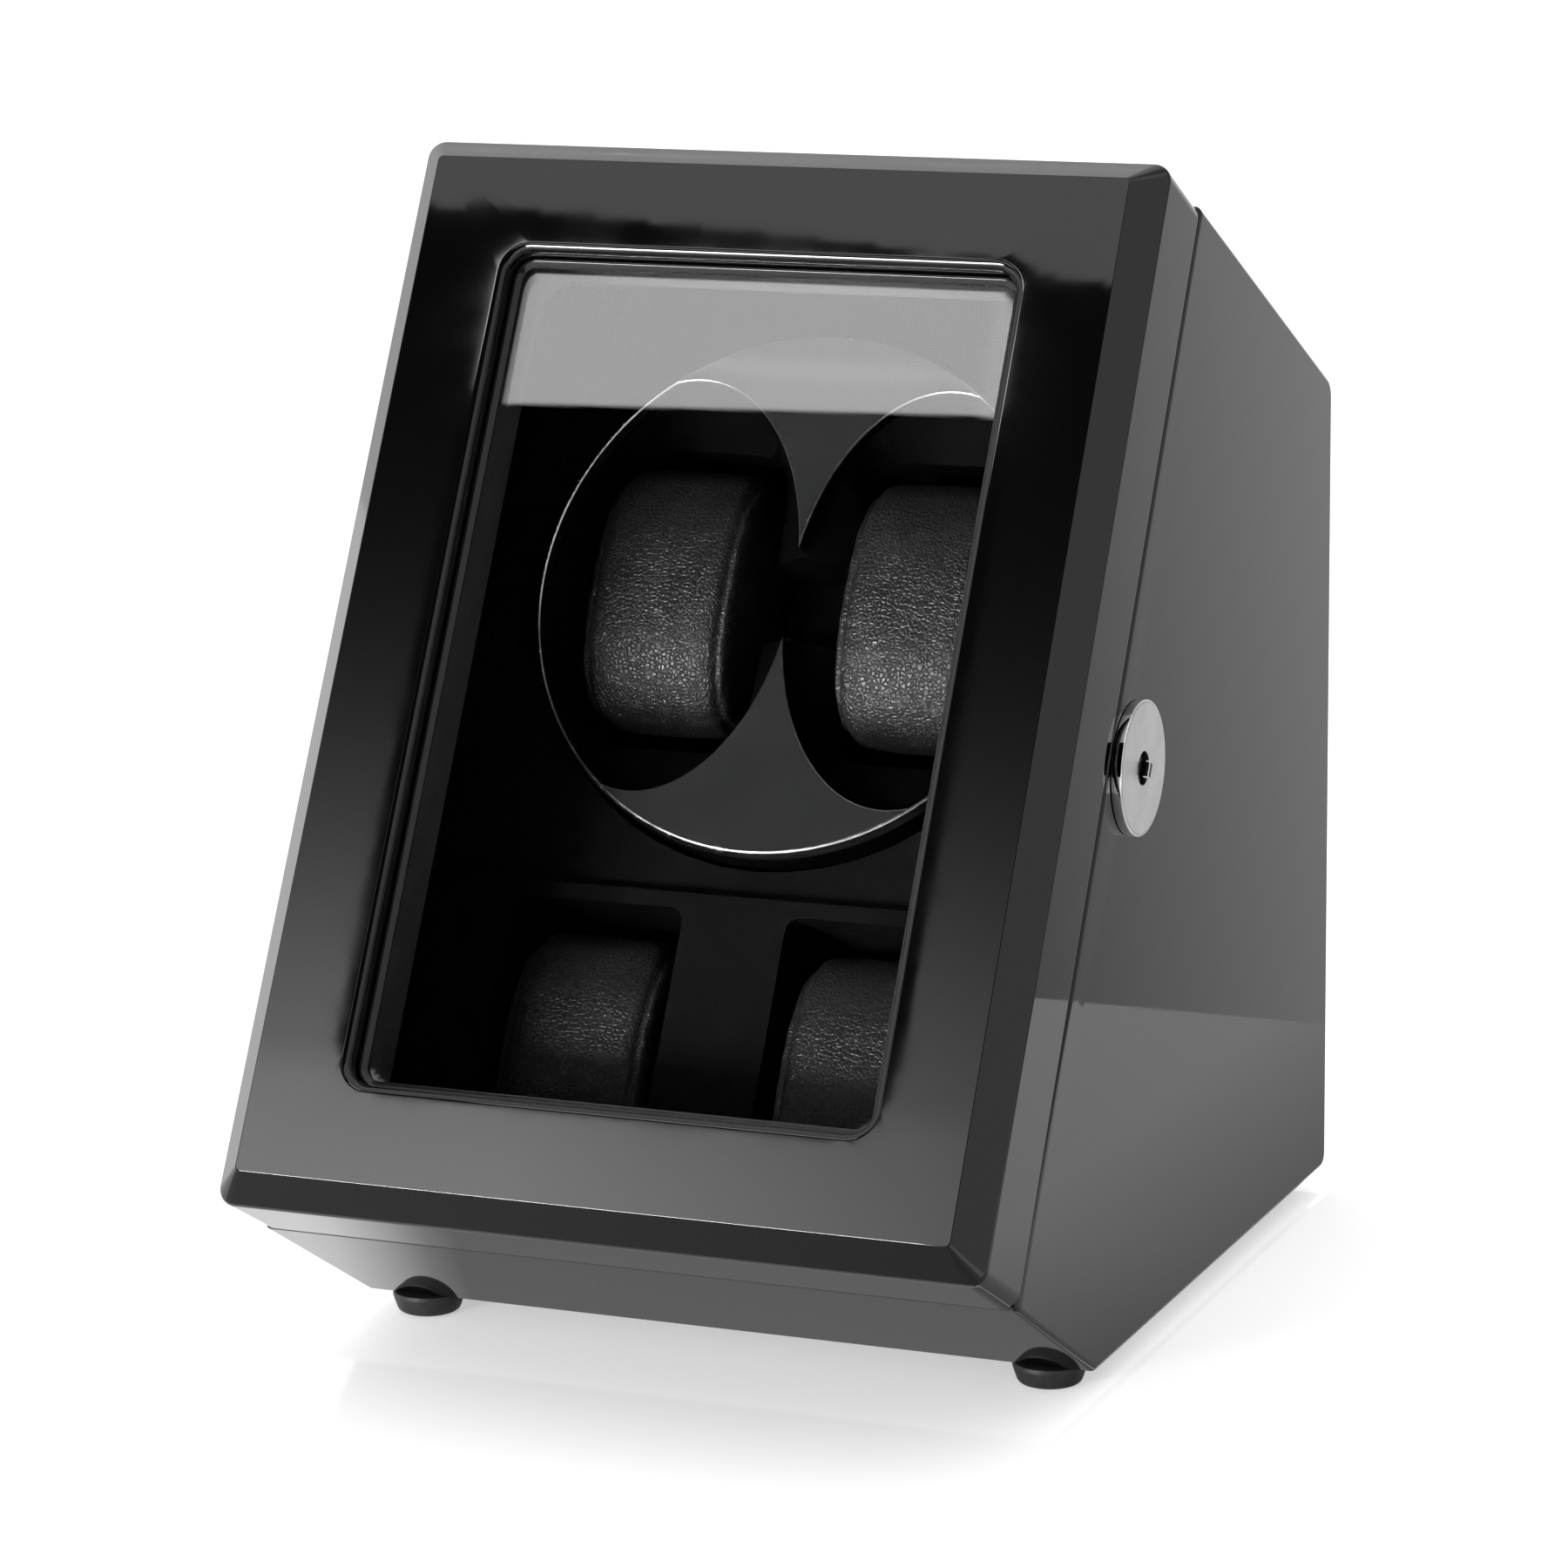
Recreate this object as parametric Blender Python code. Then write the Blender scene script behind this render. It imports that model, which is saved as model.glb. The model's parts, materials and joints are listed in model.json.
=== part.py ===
"""Watch winder box: a lacquered case that leans back behind a thick glazed door.

The object stands on four rubber feet, +Z up, its front towards -Y. The origin lies on the
table under the middle of the box. Most pieces belong to the slanted frame of the door, in
which x runs to the right, y runs into the case at right angles to the door, and z runs up
along the door.
"""
import math

import bmesh
import bpy
from mathutils import Vector

for item in list(bpy.data.objects):
    bpy.data.objects.remove(item)

# Driving dimensions in metres and radians
DOOR_WIDTH = 0.220
DOOR_HEIGHT = 0.308                 # along the slant
DOOR_DEPTH = 0.0370
DOOR_TILT = math.radians(28.8)      # leans back from upright
TOP_SLOPE = math.radians(27.85)     # the top falls towards the back
NOSE_SLOPE = math.radians(30.0)     # the lower front runs down to the base
CHAMFER_FACE = 0.008
CHAMFER_DEPTH = 0.009
SEAM = 0.0006                       # between the closed door and the case
CASE_INSET = 0.0012                 # the case is this much smaller than the door, each side
CASE_REACH = 0.307                  # level distance from the door's lower edge to the back
BASE_DROP = 0.0537                  # from the door's lower edge down to the base
WALL = 0.010
FOOT_HEIGHT = 0.0065
GAP = 0.0003                        # between pieces that touch
BACK_ROUND = 0.0070
BASE_ROUND = 0.0045

WINDOW_LIP = 0.0350                 # from the door's edge to the window, at the front
WINDOW_WALL = 0.0310                # from the door's edge to the window, behind the glass
GLASS_FRONT = 0.0080
GLASS_THICKNESS = 0.0028
LIP_ROUND = 0.0025

HINGE_HEIGHTS = {"lower": 0.062, "upper": 0.246}
HINGE_LENGTH = 0.036
LEAF_WIDTH = 0.0085
LEAF_THICKNESS = 0.0011
KNUCKLE_RADIUS = 0.0021
PIN_RADIUS = 0.0009
PIN_CLEARANCE = 0.0003
STRIP_INSET = 0.0001                # the knuckle's strip is this much thinner, each side
KNUCKLE_STANDOFF = 0.0002           # between the door's edge and the knuckles
PIN_HEAD_RADIUS = 0.0016
PIN_HEAD = (0.0004, 0.0008)         # how far beyond the knuckles a head starts and ends
LEAF_CLEARANCE = 0.0004             # round a leaf and between it and the knuckles' circle

LOCK_HEIGHT = 0.154                 # along the slant
LOCK_DEPTH = 0.0580                 # behind the door's front
LOCK_RADIUS = 0.0185
LOCK_PROUD = 0.0033
LOCK_BORE = 0.0094
LOCK_BARREL_HOUSING = 0.0090
LOCK_INSIDE = 0.0055                # how far the housing reaches into the case
KEYHOLE_RADIUS = 0.0045
KEYHOLE_DEPTH = 0.0020
BARREL_BORE = 0.0058
BARREL_RADIUS = 0.0054
NUT_RADIUS = 0.0135
NUT_THICKNESS = 0.0037
KEY_HALF = (0.0012, 0.0024)
CAM_REACH = 0.027
CAM_HALF_WIDTH = 0.0042
CAM_TAIL = 0.0050
CAM_THICKNESS = 0.0020

MORTISE_X = (0.0860, 0.0955)        # room in the door for the lock's cam
MORTISE_FRONT = 0.0270
MORTISE_BELOW = 0.0080
MORTISE_ABOVE = 0.0270
STRIKE_X = 0.0920
STRIKE_RISE = 0.0095                # its middle, above the lock
STRIKE_HALF = (0.0081, 0.0264)
STRIKE_THICKNESS = 0.0009
STRIKE_SLOT_X = 0.0908
STRIKE_SLOT_HALF = (0.0043, 0.0166)
MAGNET_DROP = 0.040                 # below the door's top
MAGNET_RADIUS = 0.0040
MAGNET_LENGTH = 0.0029

DISC_HEIGHT = 0.199                 # centre of the turntable, along the slant
DISC_FRONT = 0.0640
DISC_RADIUS = 0.0765
DISC_THICKNESS = 0.0045
WELL_OFFSET = 0.0380
WELL_HALF_WIDTH = 0.0389
WELL_HALF_HEIGHT = 0.0608
WELL_RIM = 0.0013
WELL_DEPTH = 0.0420
POCKET_HALF_WIDTH = 0.0262
POCKET_HALF_HEIGHT = 0.0445
POCKET_POWER = 7
WELL_SLOPE = 0.0100
WELL_LAND = 0.0005                  # straight part of a well above its slope
DRUM_FLOOR = 0.0032
NOTCH_HALF_WIDTH = 0.0145
NOTCH_HALF_HEIGHT = 0.0120
NOTCH_DEPTH = 0.0260
PLATE_EDGE = 0.0006

PILLOW_HALF_WIDTH = 0.0235
PILLOW_HALF_HEIGHT = 0.0400
PILLOW_HALF_DEPTH = 0.0245
PILLOW_POWER = 2.4
PILLOW_FRONT = 0.0580
PILLOW_EDGE = 0.93                  # size of the flanks, against the middle
PILLOW_FLANK = 0.95                 # share of the half width at which they start

FASCIA_FRONT = 0.0745
FASCIA_THICKNESS = 0.0040
FASCIA_BOTTOM = 0.1125
FASCIA_HOLE = 0.0785
TRAY_FRONT = 0.0665
TRAY_BACK = 0.1165
TRAY_BOTTOM = 0.0165
TRAY_TOP = 0.1110
TRAY_OFFSET = 0.0415
TRAY_POCKET_HALF_HEIGHT = 0.0435
TRAY_FLOOR = 0.0025
STORED_FRONT = 0.0640
STORED_HEIGHT = 0.0630

BOARD_FRONT = 0.1220
BOARD_THICKNESS = 0.0060
BOARD_BOTTOM = 0.125
BOARD_TOP = 0.270
BUSH_RADIUS = 0.0060
BUSH_FLANGE = 0.0085
BUSH_FLANGE_THICKNESS = 0.0015
BUSH_PROUD = 0.0012
SHAFT_RADIUS = 0.0030
FLANGE_RADIUS = 0.0140
FLANGE_THICKNESS = 0.0022
SHAFT_TAIL = 0.0035                 # beyond the gear
CLIP_RADIUS = 0.0052
CLIP_THICKNESS = 0.0010
GEAR_MODULE = 0.0010
GEAR_TEETH = 60
PINION_TEETH = 15
GEAR_FRONT = 0.1310
GEAR_THICKNESS = 0.0050
BRACKET_FRONT = 0.1400
BRACKET_THICKNESS = 0.0020
BRACKET_HALF = (0.026, 0.017)
SPACER_X = 0.0205
SPACER_DROP = 0.010
SPACER_RADIUS = 0.0030
SPINDLE_RADIUS = 0.0015
SPINDLE_HOLE = 0.0030
MOTOR_RADIUS = 0.0135
MOTOR_LENGTH = 0.0300
MOTOR_CAP = (0.0035, 0.0020)        # radius and length of the cap on its end

PANEL_CENTRE = 0.060                # rear control panel, height above the base
PANEL_HALF_WIDTH = 0.034
PANEL_HALF_HEIGHT = 0.017
PANEL_THICKNESS = 0.0025
SOCKET_X = -0.018
KNOB_X = 0.016
KNOB_RADIUS = 0.0080
KNOB_PROUD = 0.0090
KNOB_STEM = 0.0030
KNOB_STEM_HOLE = 0.0036
PANEL_CORNER = 0.003
PANEL_LEDGE = 0.004                 # the window behind the panel is this much smaller
SOCKET_HOLE = 0.0051
SOCKET_RADIUS = 0.0048
SOCKET_RIM = (0.0065, 0.0012)
SOCKET_BORE = 0.0032
SOCKET_PIN = 0.0010
SOCKET_FLOOR = 0.0110
SOCKET_PIN_TIP = 0.0030
SOCKET_BACK = 0.0125
SWITCH_HALF = 0.0070
CIRCUIT_HALF = (0.0290, 0.0120)
CIRCUIT_DEPTHS = (-0.0145, -0.0129)

FOOT_X = 0.0935
FOOT_TOP_RADIUS = 0.01025
FOOT_BASE_RADIUS = 0.0080
FOOT_SKIRT = 0.0012                 # straight part of its rim, and the rounding at its base
FOOT_HOLLOW = (0.0045, 0.0025)      # radius and depth
FOOT_FRONT_INSET = 0.0070
FOOT_BACK_INSET = 0.0240

PASS = 0.001                        # how far a cutter runs past the face that it cuts
ROUND_STEPS = 48
SMALL_STEPS = 24

# Places worked out from them
SIN, COS = math.sin(DOOR_TILT), math.cos(DOOR_TILT)
CASE_FRONT = DOOR_DEPTH + SEAM
CASE_HALF = DOOR_WIDTH / 2 - CASE_INSET
INNER_HALF = CASE_HALF - WALL
FRONT_Y = CHAMFER_FACE * SIN
REAR_Y = CASE_REACH + KNOB_PROUD
ORIGIN_SHIFT = -(FRONT_Y + REAR_Y) / 2
FRAME_HEIGHT = BASE_DROP + FOOT_HEIGHT
HINGE_X = -DOOR_WIDTH / 2 - KNUCKLE_RADIUS - KNUCKLE_STANDOFF
HINGE_Y = DOOR_DEPTH + SEAM / 2
KEY_END = KNUCKLE_RADIUS - HINGE_X  # as far out as the knuckles, so the box stays centred
GEAR_DISTANCE = GEAR_MODULE * (GEAR_TEETH + PINION_TEETH) / 2 + 0.0002
DRUM_FRONT = DISC_FRONT + DISC_THICKNESS + GAP
DRUM_BACK = DRUM_FRONT + WELL_DEPTH + DRUM_FLOOR
PANEL_Z = PANEL_CENTRE - BASE_DROP
MAGNET_PLACE = (INNER_HALF + WALL / 2, DOOR_HEIGHT - MAGNET_DROP)

# Finishes: colour, roughness, metallic
LACQUER = ((0.012, 0.012, 0.013), 0.08, 0.0)
LEATHER = ((0.016, 0.016, 0.017), 0.45, 0.0)
LINING = ((0.013, 0.013, 0.014), 0.55, 0.0)
GLOSS = ((0.085, 0.085, 0.088), 0.15, 0.0)
PLASTIC = ((0.02, 0.02, 0.021), 0.4, 0.0)
CHROME = ((0.8, 0.8, 0.82), 0.1, 1.0)
STEEL = ((0.55, 0.55, 0.56), 0.3, 1.0)
BRASS = ((0.75, 0.58, 0.3), 0.3, 1.0)
RUBBER = ((0.02, 0.02, 0.02), 0.8, 0.0)
GLASS = ((0.85, 0.88, 0.88), 0.02, 0.0)
NYLON = ((0.78, 0.77, 0.72), 0.45, 0.0)
BOARD = ((0.35, 0.26, 0.18), 0.8, 0.0)
CIRCUIT = ((0.03, 0.22, 0.08), 0.5, 0.0)


def empty(name, parent=None, location=(0, 0, 0), tilt=0.0):
    """An empty that holds the pieces of one frame or one moving body."""
    holder = bpy.data.objects.new(name, None)
    bpy.context.collection.objects.link(holder)
    holder.parent = parent
    holder.location = location
    holder.rotation_euler.x = tilt
    return holder


LEVEL = empty("level_frame", location=(0, ORIGIN_SHIFT, FRAME_HEIGHT))
SLANT = empty("slanted_frame", LEVEL, tilt=-DOOR_TILT)
DOOR_PIVOT = empty("door_pivot", SLANT, (HINGE_X, HINGE_Y, 0))
DISC_PIVOT = empty("turntable_pivot", SLANT, (0, 0, DISC_HEIGHT))
PINION_PIVOT = empty("pinion_pivot", SLANT, (0, 0, DISC_HEIGHT - GEAR_DISTANCE))
LOCK_PIVOT = empty("lock_pivot", SLANT, (0, LOCK_DEPTH, LOCK_HEIGHT))
PANEL_PIVOT = empty("panel_pivot", LEVEL, (0, CASE_REACH, PANEL_Z))


def paint(name, finish):
    """A Principled material of the piece's own."""
    colour, roughness, metallic = finish
    material = bpy.data.materials.new(name)
    material.use_nodes = True
    shader = material.node_tree.nodes["Principled BSDF"]
    shader.inputs["Base Color"].default_value = (*colour, 1.0)
    shader.inputs["Roughness"].default_value = roughness
    shader.inputs["Metallic"].default_value = metallic
    if finish is GLASS:
        shader.inputs["Transmission Weight"].default_value = 0.95
    return material


def add(name, solid, finish, frame=SLANT):
    """Link a closed bmesh as a named object; its coordinates are those of the frame.

    A piece on a pivot is modelled in the slanted or level frame and moved over to the pivot,
    so that its origin lies on the joint's axis.
    """
    bmesh.ops.recalc_face_normals(solid, faces=solid.faces)
    mesh = bpy.data.meshes.new(name)
    solid.to_mesh(mesh)
    solid.free()
    mesh.shade_smooth()
    mesh.set_sharp_from_angle(angle=math.radians(35))
    piece = bpy.data.objects.new(name, mesh)
    bpy.context.collection.objects.link(piece)
    piece.parent = frame
    if finish is not None:
        mesh.materials.append(paint(name, finish))
    return piece


def boolean(piece, cutter, operation="DIFFERENCE"):
    """Cut or join with another closed mesh, which stays in the scene as a hidden guide."""
    cutter.hide_render = True
    cutter.display_type = "WIRE"
    step = piece.modifiers.new(cutter.name, "BOOLEAN")
    step.operation = operation
    step.object = cutter
    step.solver = "EXACT"


def on_axis(axis, level, a, b):
    """The point at a level of one axis, with the other two coordinates in X, Y, Z order."""
    return Vector({"X": (level, a, b), "Y": (a, level, b), "Z": (a, b, level)}[axis])


def prism(outline, low, high, axis="Y"):
    """A closed solid of one outline between two levels of an axis."""
    solid = bmesh.new()
    rings = [[solid.verts.new(on_axis(axis, level, a, b)) for a, b in outline]
             for level in (low, high)]
    cap_and_wall(solid, rings)
    return solid


def cap_and_wall(solid, rings):
    """Close a stack of rings that hold equally many points."""
    for lower, upper in zip(rings, rings[1:]):
        for i in range(len(lower)):
            j = (i + 1) % len(lower)
            solid.faces.new((lower[i], lower[j], upper[j], upper[i]))
    solid.faces.new(rings[0][::-1])
    solid.faces.new(rings[-1])


def hoop(outer, inner, low, high, axis="Y"):
    """A frame between two outlines of equally many points."""
    solid = bmesh.new()
    loops = [[solid.verts.new(on_axis(axis, level, a, b)) for a, b in outline]
             for outline, level in ((outer, low), (outer, high), (inner, high), (inner, low))]
    for first, second in zip(loops, loops[1:] + loops[:1]):
        for i in range(len(first)):
            j = (i + 1) % len(first)
            solid.faces.new((first[i], first[j], second[j], second[i]))
    return solid


def block(x, y, z):
    """A box from three (low, high) pairs."""
    return prism([(x[0], z[0]), (x[1], z[0]), (x[1], z[1]), (x[0], z[1])], y[0], y[1])


def circle(radius, steps, centre=(0, 0), turn=0.0):
    return [(centre[0] + radius * math.cos(turn + math.tau * i / steps),
             centre[1] + radius * math.sin(turn + math.tau * i / steps)) for i in range(steps)]


def hexagon(radius):
    """A hexagon with four points on each side, to pair with a circle."""
    points = []
    for a, b in circle(1.0, SMALL_STEPS):
        angle = math.atan2(b, a) % math.radians(60) - math.radians(30)
        reach = radius * math.cos(math.radians(30)) / math.cos(angle)
        points.append((a * reach, b * reach))
    return points


def rounded(half_a, half_b, radius, centre=(0, 0), steps=4):
    """A rectangle with rounded corners, counter-clockwise from its lower right corner."""
    points = []
    for side, (a, b) in enumerate(((1, -1), (1, 1), (-1, 1), (-1, -1))):
        for i in range(steps + 1):
            angle = math.radians(-90 + 90 * side + 90 * i / steps)
            points.append((centre[0] + a * (half_a - radius) + radius * math.cos(angle),
                           centre[1] + b * (half_b - radius) + radius * math.sin(angle)))
    return points


def turned(profile, axis="Y", steps=ROUND_STEPS, centre=(0, 0), closed=False):
    """A solid of revolution. The profile holds (radius, level) pairs.

    An open profile starts and ends on the axis; a closed one makes a ring.
    """
    solid = bmesh.new()
    rings = []
    for radius, level in profile:
        if radius == 0:
            rings.append([solid.verts.new(on_axis(axis, level, *centre))])
        else:
            rings.append([solid.verts.new(on_axis(axis, level, a, b))
                          for a, b in circle(radius, steps, centre)])
    pairs = list(zip(rings, rings[1:]))
    if closed:
        pairs.append((rings[-1], rings[0]))
    for first, second in pairs:
        for i in range(steps):
            j = (i + 1) % steps
            if len(first) == 1:
                solid.faces.new((first[0], second[i], second[j]))
            elif len(second) == 1:
                solid.faces.new((first[i], first[j], second[0]))
            else:
                solid.faces.new((first[i], first[j], second[j], second[i]))
    return solid


def disc(radius, low, high, axis="Y", steps=ROUND_STEPS, centre=(0, 0)):
    return turned([(0, low), (radius, low), (radius, high), (0, high)], axis, steps, centre)


def tube(outer, inner, low, high, axis="Y", steps=ROUND_STEPS, centre=(0, 0)):
    return turned([(outer, low), (outer, high), (inner, high), (inner, low)], axis, steps,
                  centre, closed=True)


def to_pivot(solid, pivot):
    """Move a solid from the frame that holds a pivot to the pivot's own."""
    bmesh.ops.translate(solid, verts=solid.verts, vec=-pivot.location)
    return solid


def meet(p, d, q, e):
    """Where two lines in a plane cross, each given by a point and a direction."""
    scale = ((q[0] - p[0]) * e[1] - (q[1] - p[1]) * e[0]) / (d[0] * e[1] - d[1] * e[0])
    return (p[0] + scale * d[0], p[1] + scale * d[1])


def slant(along, depth):
    """Level (y, z) of a point of the slanted frame."""
    return (along * SIN + depth * COS, along * COS - depth * SIN)


# --- Case ---------------------------------------------------------------------------------

FRONT_LINE = (slant(0, CASE_FRONT), (SIN, COS))
TOP_LINE = (slant(DOOR_HEIGHT - CASE_INSET, 0), (math.cos(TOP_SLOPE), -math.sin(TOP_SLOPE)))
BACK_LINE = ((CASE_REACH, 0), (0, -1))
BASE_LINE = ((0, -BASE_DROP), (-1, 0))
NOSE_LINE = (slant(CASE_INSET, 0), (-math.cos(NOSE_SLOPE), math.sin(NOSE_SLOPE)))


def inward(line, distance):
    """A line of the case's outline moved into the case; the outline runs clockwise."""
    (y, z), (dy, dz) = line
    return ((y + dz * distance, z - dy * distance), (dy, dz))


def corner(line_a, line_b):
    return meet(*line_a, *line_b)


def fillet(line_a, line_b, radius, steps=6):
    """Points of the rounded corner where line_a turns right into line_b."""
    middle = corner(inward(line_a, radius), inward(line_b, radius))
    start = math.atan2(line_a[1][0], -line_a[1][1])
    end = math.atan2(line_b[1][0], -line_b[1][1])
    sweep = (end - start + math.pi) % math.tau - math.pi
    return [(middle[0] + radius * math.cos(start + sweep * i / steps),
             middle[1] + radius * math.sin(start + sweep * i / steps))
            for i in range(steps + 1)]


def case_sides():
    """Left and right walls, each one panel with the case's whole outline."""
    outline = [corner(NOSE_LINE, FRONT_LINE), corner(FRONT_LINE, TOP_LINE)]
    outline += fillet(TOP_LINE, BACK_LINE, BACK_ROUND)
    outline += fillet(BACK_LINE, BASE_LINE, BASE_ROUND)
    outline += fillet(BASE_LINE, NOSE_LINE, BASE_ROUND)
    left = add("case_side_left", prism(outline, -CASE_HALF, -INNER_HALF, "X"), LACQUER, LEVEL)
    right = add("case_side_right", prism(outline, INNER_HALF, CASE_HALF, "X"), LACQUER, LEVEL)
    for end, height in HINGE_HEIGHTS.items():
        recess = block((-CASE_HALF - PASS, -CASE_HALF + LEAF_WIDTH + LEAF_CLEARANCE),
                       (CASE_FRONT - PASS, CASE_FRONT + LEAF_THICKNESS + GAP),
                       (height - HINGE_LENGTH / 2 - GAP, height + HINGE_LENGTH / 2 + GAP))
        boolean(left, add(f"cut_case_hinge_{end}", recess, None))
    bore = disc(LOCK_BORE, INNER_HALF - PASS, CASE_HALF + PASS, "X", SMALL_STEPS,
                (LOCK_DEPTH, LOCK_HEIGHT))
    boolean(right, add("cut_lock_bore", bore, None))
    keeper = disc(MAGNET_RADIUS + GAP, CASE_FRONT - PASS, CASE_FRONT + MAGNET_LENGTH + 0.0004,
                  "Y", SMALL_STEPS, MAGNET_PLACE)
    boolean(right, add("cut_case_keeper", keeper, None))


def case_panels():
    """Top, back, base and lower front, mitred together between the side walls."""
    lines = [TOP_LINE, BACK_LINE, BASE_LINE, NOSE_LINE]
    names = ["case_top", "case_back", "case_base", "case_lower_front"]
    rounds = [BACK_ROUND, BASE_ROUND, BASE_ROUND]
    mitre = 0.00025
    for i, (name, line) in enumerate(zip(names, lines)):
        dy, dz = line[1]
        inner = inward(line, WALL)
        if i == 0:
            outer_start = [corner(FRONT_LINE, line)]
            inner_start = corner(FRONT_LINE, inner)
        else:
            arc = fillet(lines[i - 1], line, rounds[i - 1])
            outer_start = [(y + dy * mitre, z + dz * mitre) for y, z in arc[len(arc) // 2:]]
            y, z = corner(inward(lines[i - 1], WALL), inner)
            inner_start = (y + dy * mitre, z + dz * mitre)
        if i == len(lines) - 1:
            outer_end = [corner(line, FRONT_LINE)]
            inner_end = corner(inner, FRONT_LINE)
        else:
            arc = fillet(line, lines[i + 1], rounds[i])
            outer_end = [(y - dy * mitre, z - dz * mitre) for y, z in arc[:len(arc) // 2 + 1]]
            y, z = corner(inner, inward(lines[i + 1], WALL))
            inner_end = (y - dy * mitre, z - dz * mitre)
        outline = outer_start + outer_end + [inner_end, inner_start]
        panel = add(name, prism(outline, -INNER_HALF + GAP, INNER_HALF - GAP, "X"), LACQUER, LEVEL)
        if name == "case_back":
            wide, tall = PANEL_HALF_WIDTH - PANEL_LEDGE, PANEL_HALF_HEIGHT - PANEL_LEDGE
            window = block((-wide, wide), (CASE_REACH - WALL - PASS, CASE_REACH + PASS),
                           (PANEL_Z - tall, PANEL_Z + tall))
            boolean(panel, add("cut_back_window", window, None, LEVEL))
            recess = prism(rounded(PANEL_HALF_WIDTH + GAP, PANEL_HALF_HEIGHT + GAP, PANEL_CORNER,
                                   (0, PANEL_Z)),
                           CASE_REACH - PANEL_THICKNESS, CASE_REACH + PASS)
            boolean(panel, add("cut_back_recess", recess, None, LEVEL))


def feet():
    """Rubber feet with a hollow underside."""
    base_front = corner(BASE_LINE, NOSE_LINE)[0]
    rows = {"front": base_front + FOOT_FRONT_INSET, "rear": CASE_REACH - FOOT_BACK_INSET}
    top = -BASE_DROP - GAP
    bottom = -BASE_DROP - FOOT_HEIGHT
    hollow, deep = FOOT_HOLLOW
    profile = [(0, top), (FOOT_TOP_RADIUS, top), (FOOT_TOP_RADIUS, top - FOOT_SKIRT),
               (FOOT_BASE_RADIUS + 0.0010, bottom + FOOT_SKIRT), (FOOT_BASE_RADIUS, bottom),
               (hollow, bottom), (hollow, bottom + deep), (0, bottom + deep)]
    for row, y in rows.items():
        for side, x in (("left", -FOOT_X), ("right", FOOT_X)):
            add(f"foot_{row}_{side}", turned(profile, "Z", 32, (x, y)), RUBBER, LEVEL)


# --- Door ---------------------------------------------------------------------------------

def door_rails():
    """Four mitred rails with a chamfered outer edge and a rounded lip round the window."""
    profile = [(0, DOOR_DEPTH), (0, CHAMFER_DEPTH), (CHAMFER_FACE, 0)]
    steps = 4
    for i in range(steps + 1):
        angle = math.radians(90 * i / steps)
        profile.append((WINDOW_LIP - LIP_ROUND + LIP_ROUND * math.sin(angle),
                        LIP_ROUND - LIP_ROUND * math.cos(angle)))
    profile += [(WINDOW_LIP, GLASS_FRONT - GAP), (WINDOW_WALL, GLASS_FRONT - GAP),
                (WINDOW_WALL, DOOR_DEPTH)]
    mitre = GAP / 2 * math.sqrt(2)
    half = DOOR_WIDTH / 2
    corners = [(-half, 0), (half, 0), (half, DOOR_HEIGHT), (-half, DOOR_HEIGHT)]
    inwards = [(1, 1), (-1, 1), (-1, -1), (1, -1)]
    names = ["door_rail_bottom", "door_stile_lock", "door_rail_top", "door_stile_hinge"]
    rails = {}
    for i, name in enumerate(names):
        j = (i + 1) % 4
        run = Vector(corners[j]) - Vector(corners[i])
        run = run.normalized() * mitre
        solid = bmesh.new()
        rings = []
        for (x, z), (sx, sz), shift in ((corners[i], inwards[i], run),
                                        (corners[j], inwards[j], -run)):
            rings.append([solid.verts.new((x + sx * t + shift.x, depth, z + sz * t + shift.y))
                          for t, depth in profile])
        cap_and_wall(solid, rings)
        rails[name] = add(name, to_pivot(solid, DOOR_PIVOT), LACQUER, DOOR_PIVOT)
    for end, height in HINGE_HEIGHTS.items():
        recess = block((-half - PASS, -half + LEAF_WIDTH + LEAF_CLEARANCE),
                       (DOOR_DEPTH - LEAF_THICKNESS - GAP, DOOR_DEPTH + PASS),
                       (height - HINGE_LENGTH / 2 - GAP, height + HINGE_LENGTH / 2 + GAP))
        boolean(rails["door_stile_hinge"],
                add(f"cut_door_hinge_{end}", to_pivot(recess, DOOR_PIVOT), None, DOOR_PIVOT))
    mortise = block(MORTISE_X, (MORTISE_FRONT, DOOR_DEPTH + PASS),
                    (LOCK_HEIGHT - MORTISE_BELOW, LOCK_HEIGHT + MORTISE_ABOVE))
    wide, tall = (side + LEAF_CLEARANCE for side in STRIKE_HALF)
    middle = LOCK_HEIGHT + STRIKE_RISE
    plate = block((STRIKE_X - wide, STRIKE_X + wide),
                  (DOOR_DEPTH - STRIKE_THICKNESS - 0.0004, DOOR_DEPTH + 2 * PASS),
                  (middle - tall, middle + tall))
    magnet = disc(MAGNET_RADIUS + GAP, DOOR_DEPTH - MAGNET_LENGTH - 0.0004, DOOR_DEPTH + PASS,
                  "Y", SMALL_STEPS, MAGNET_PLACE)
    for name, cutter in (("cut_mortise", mortise), ("cut_strike", plate), ("cut_magnet", magnet)):
        boolean(rails["door_stile_lock"],
                add(name, to_pivot(cutter, DOOR_PIVOT), None, DOOR_PIVOT))


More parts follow.
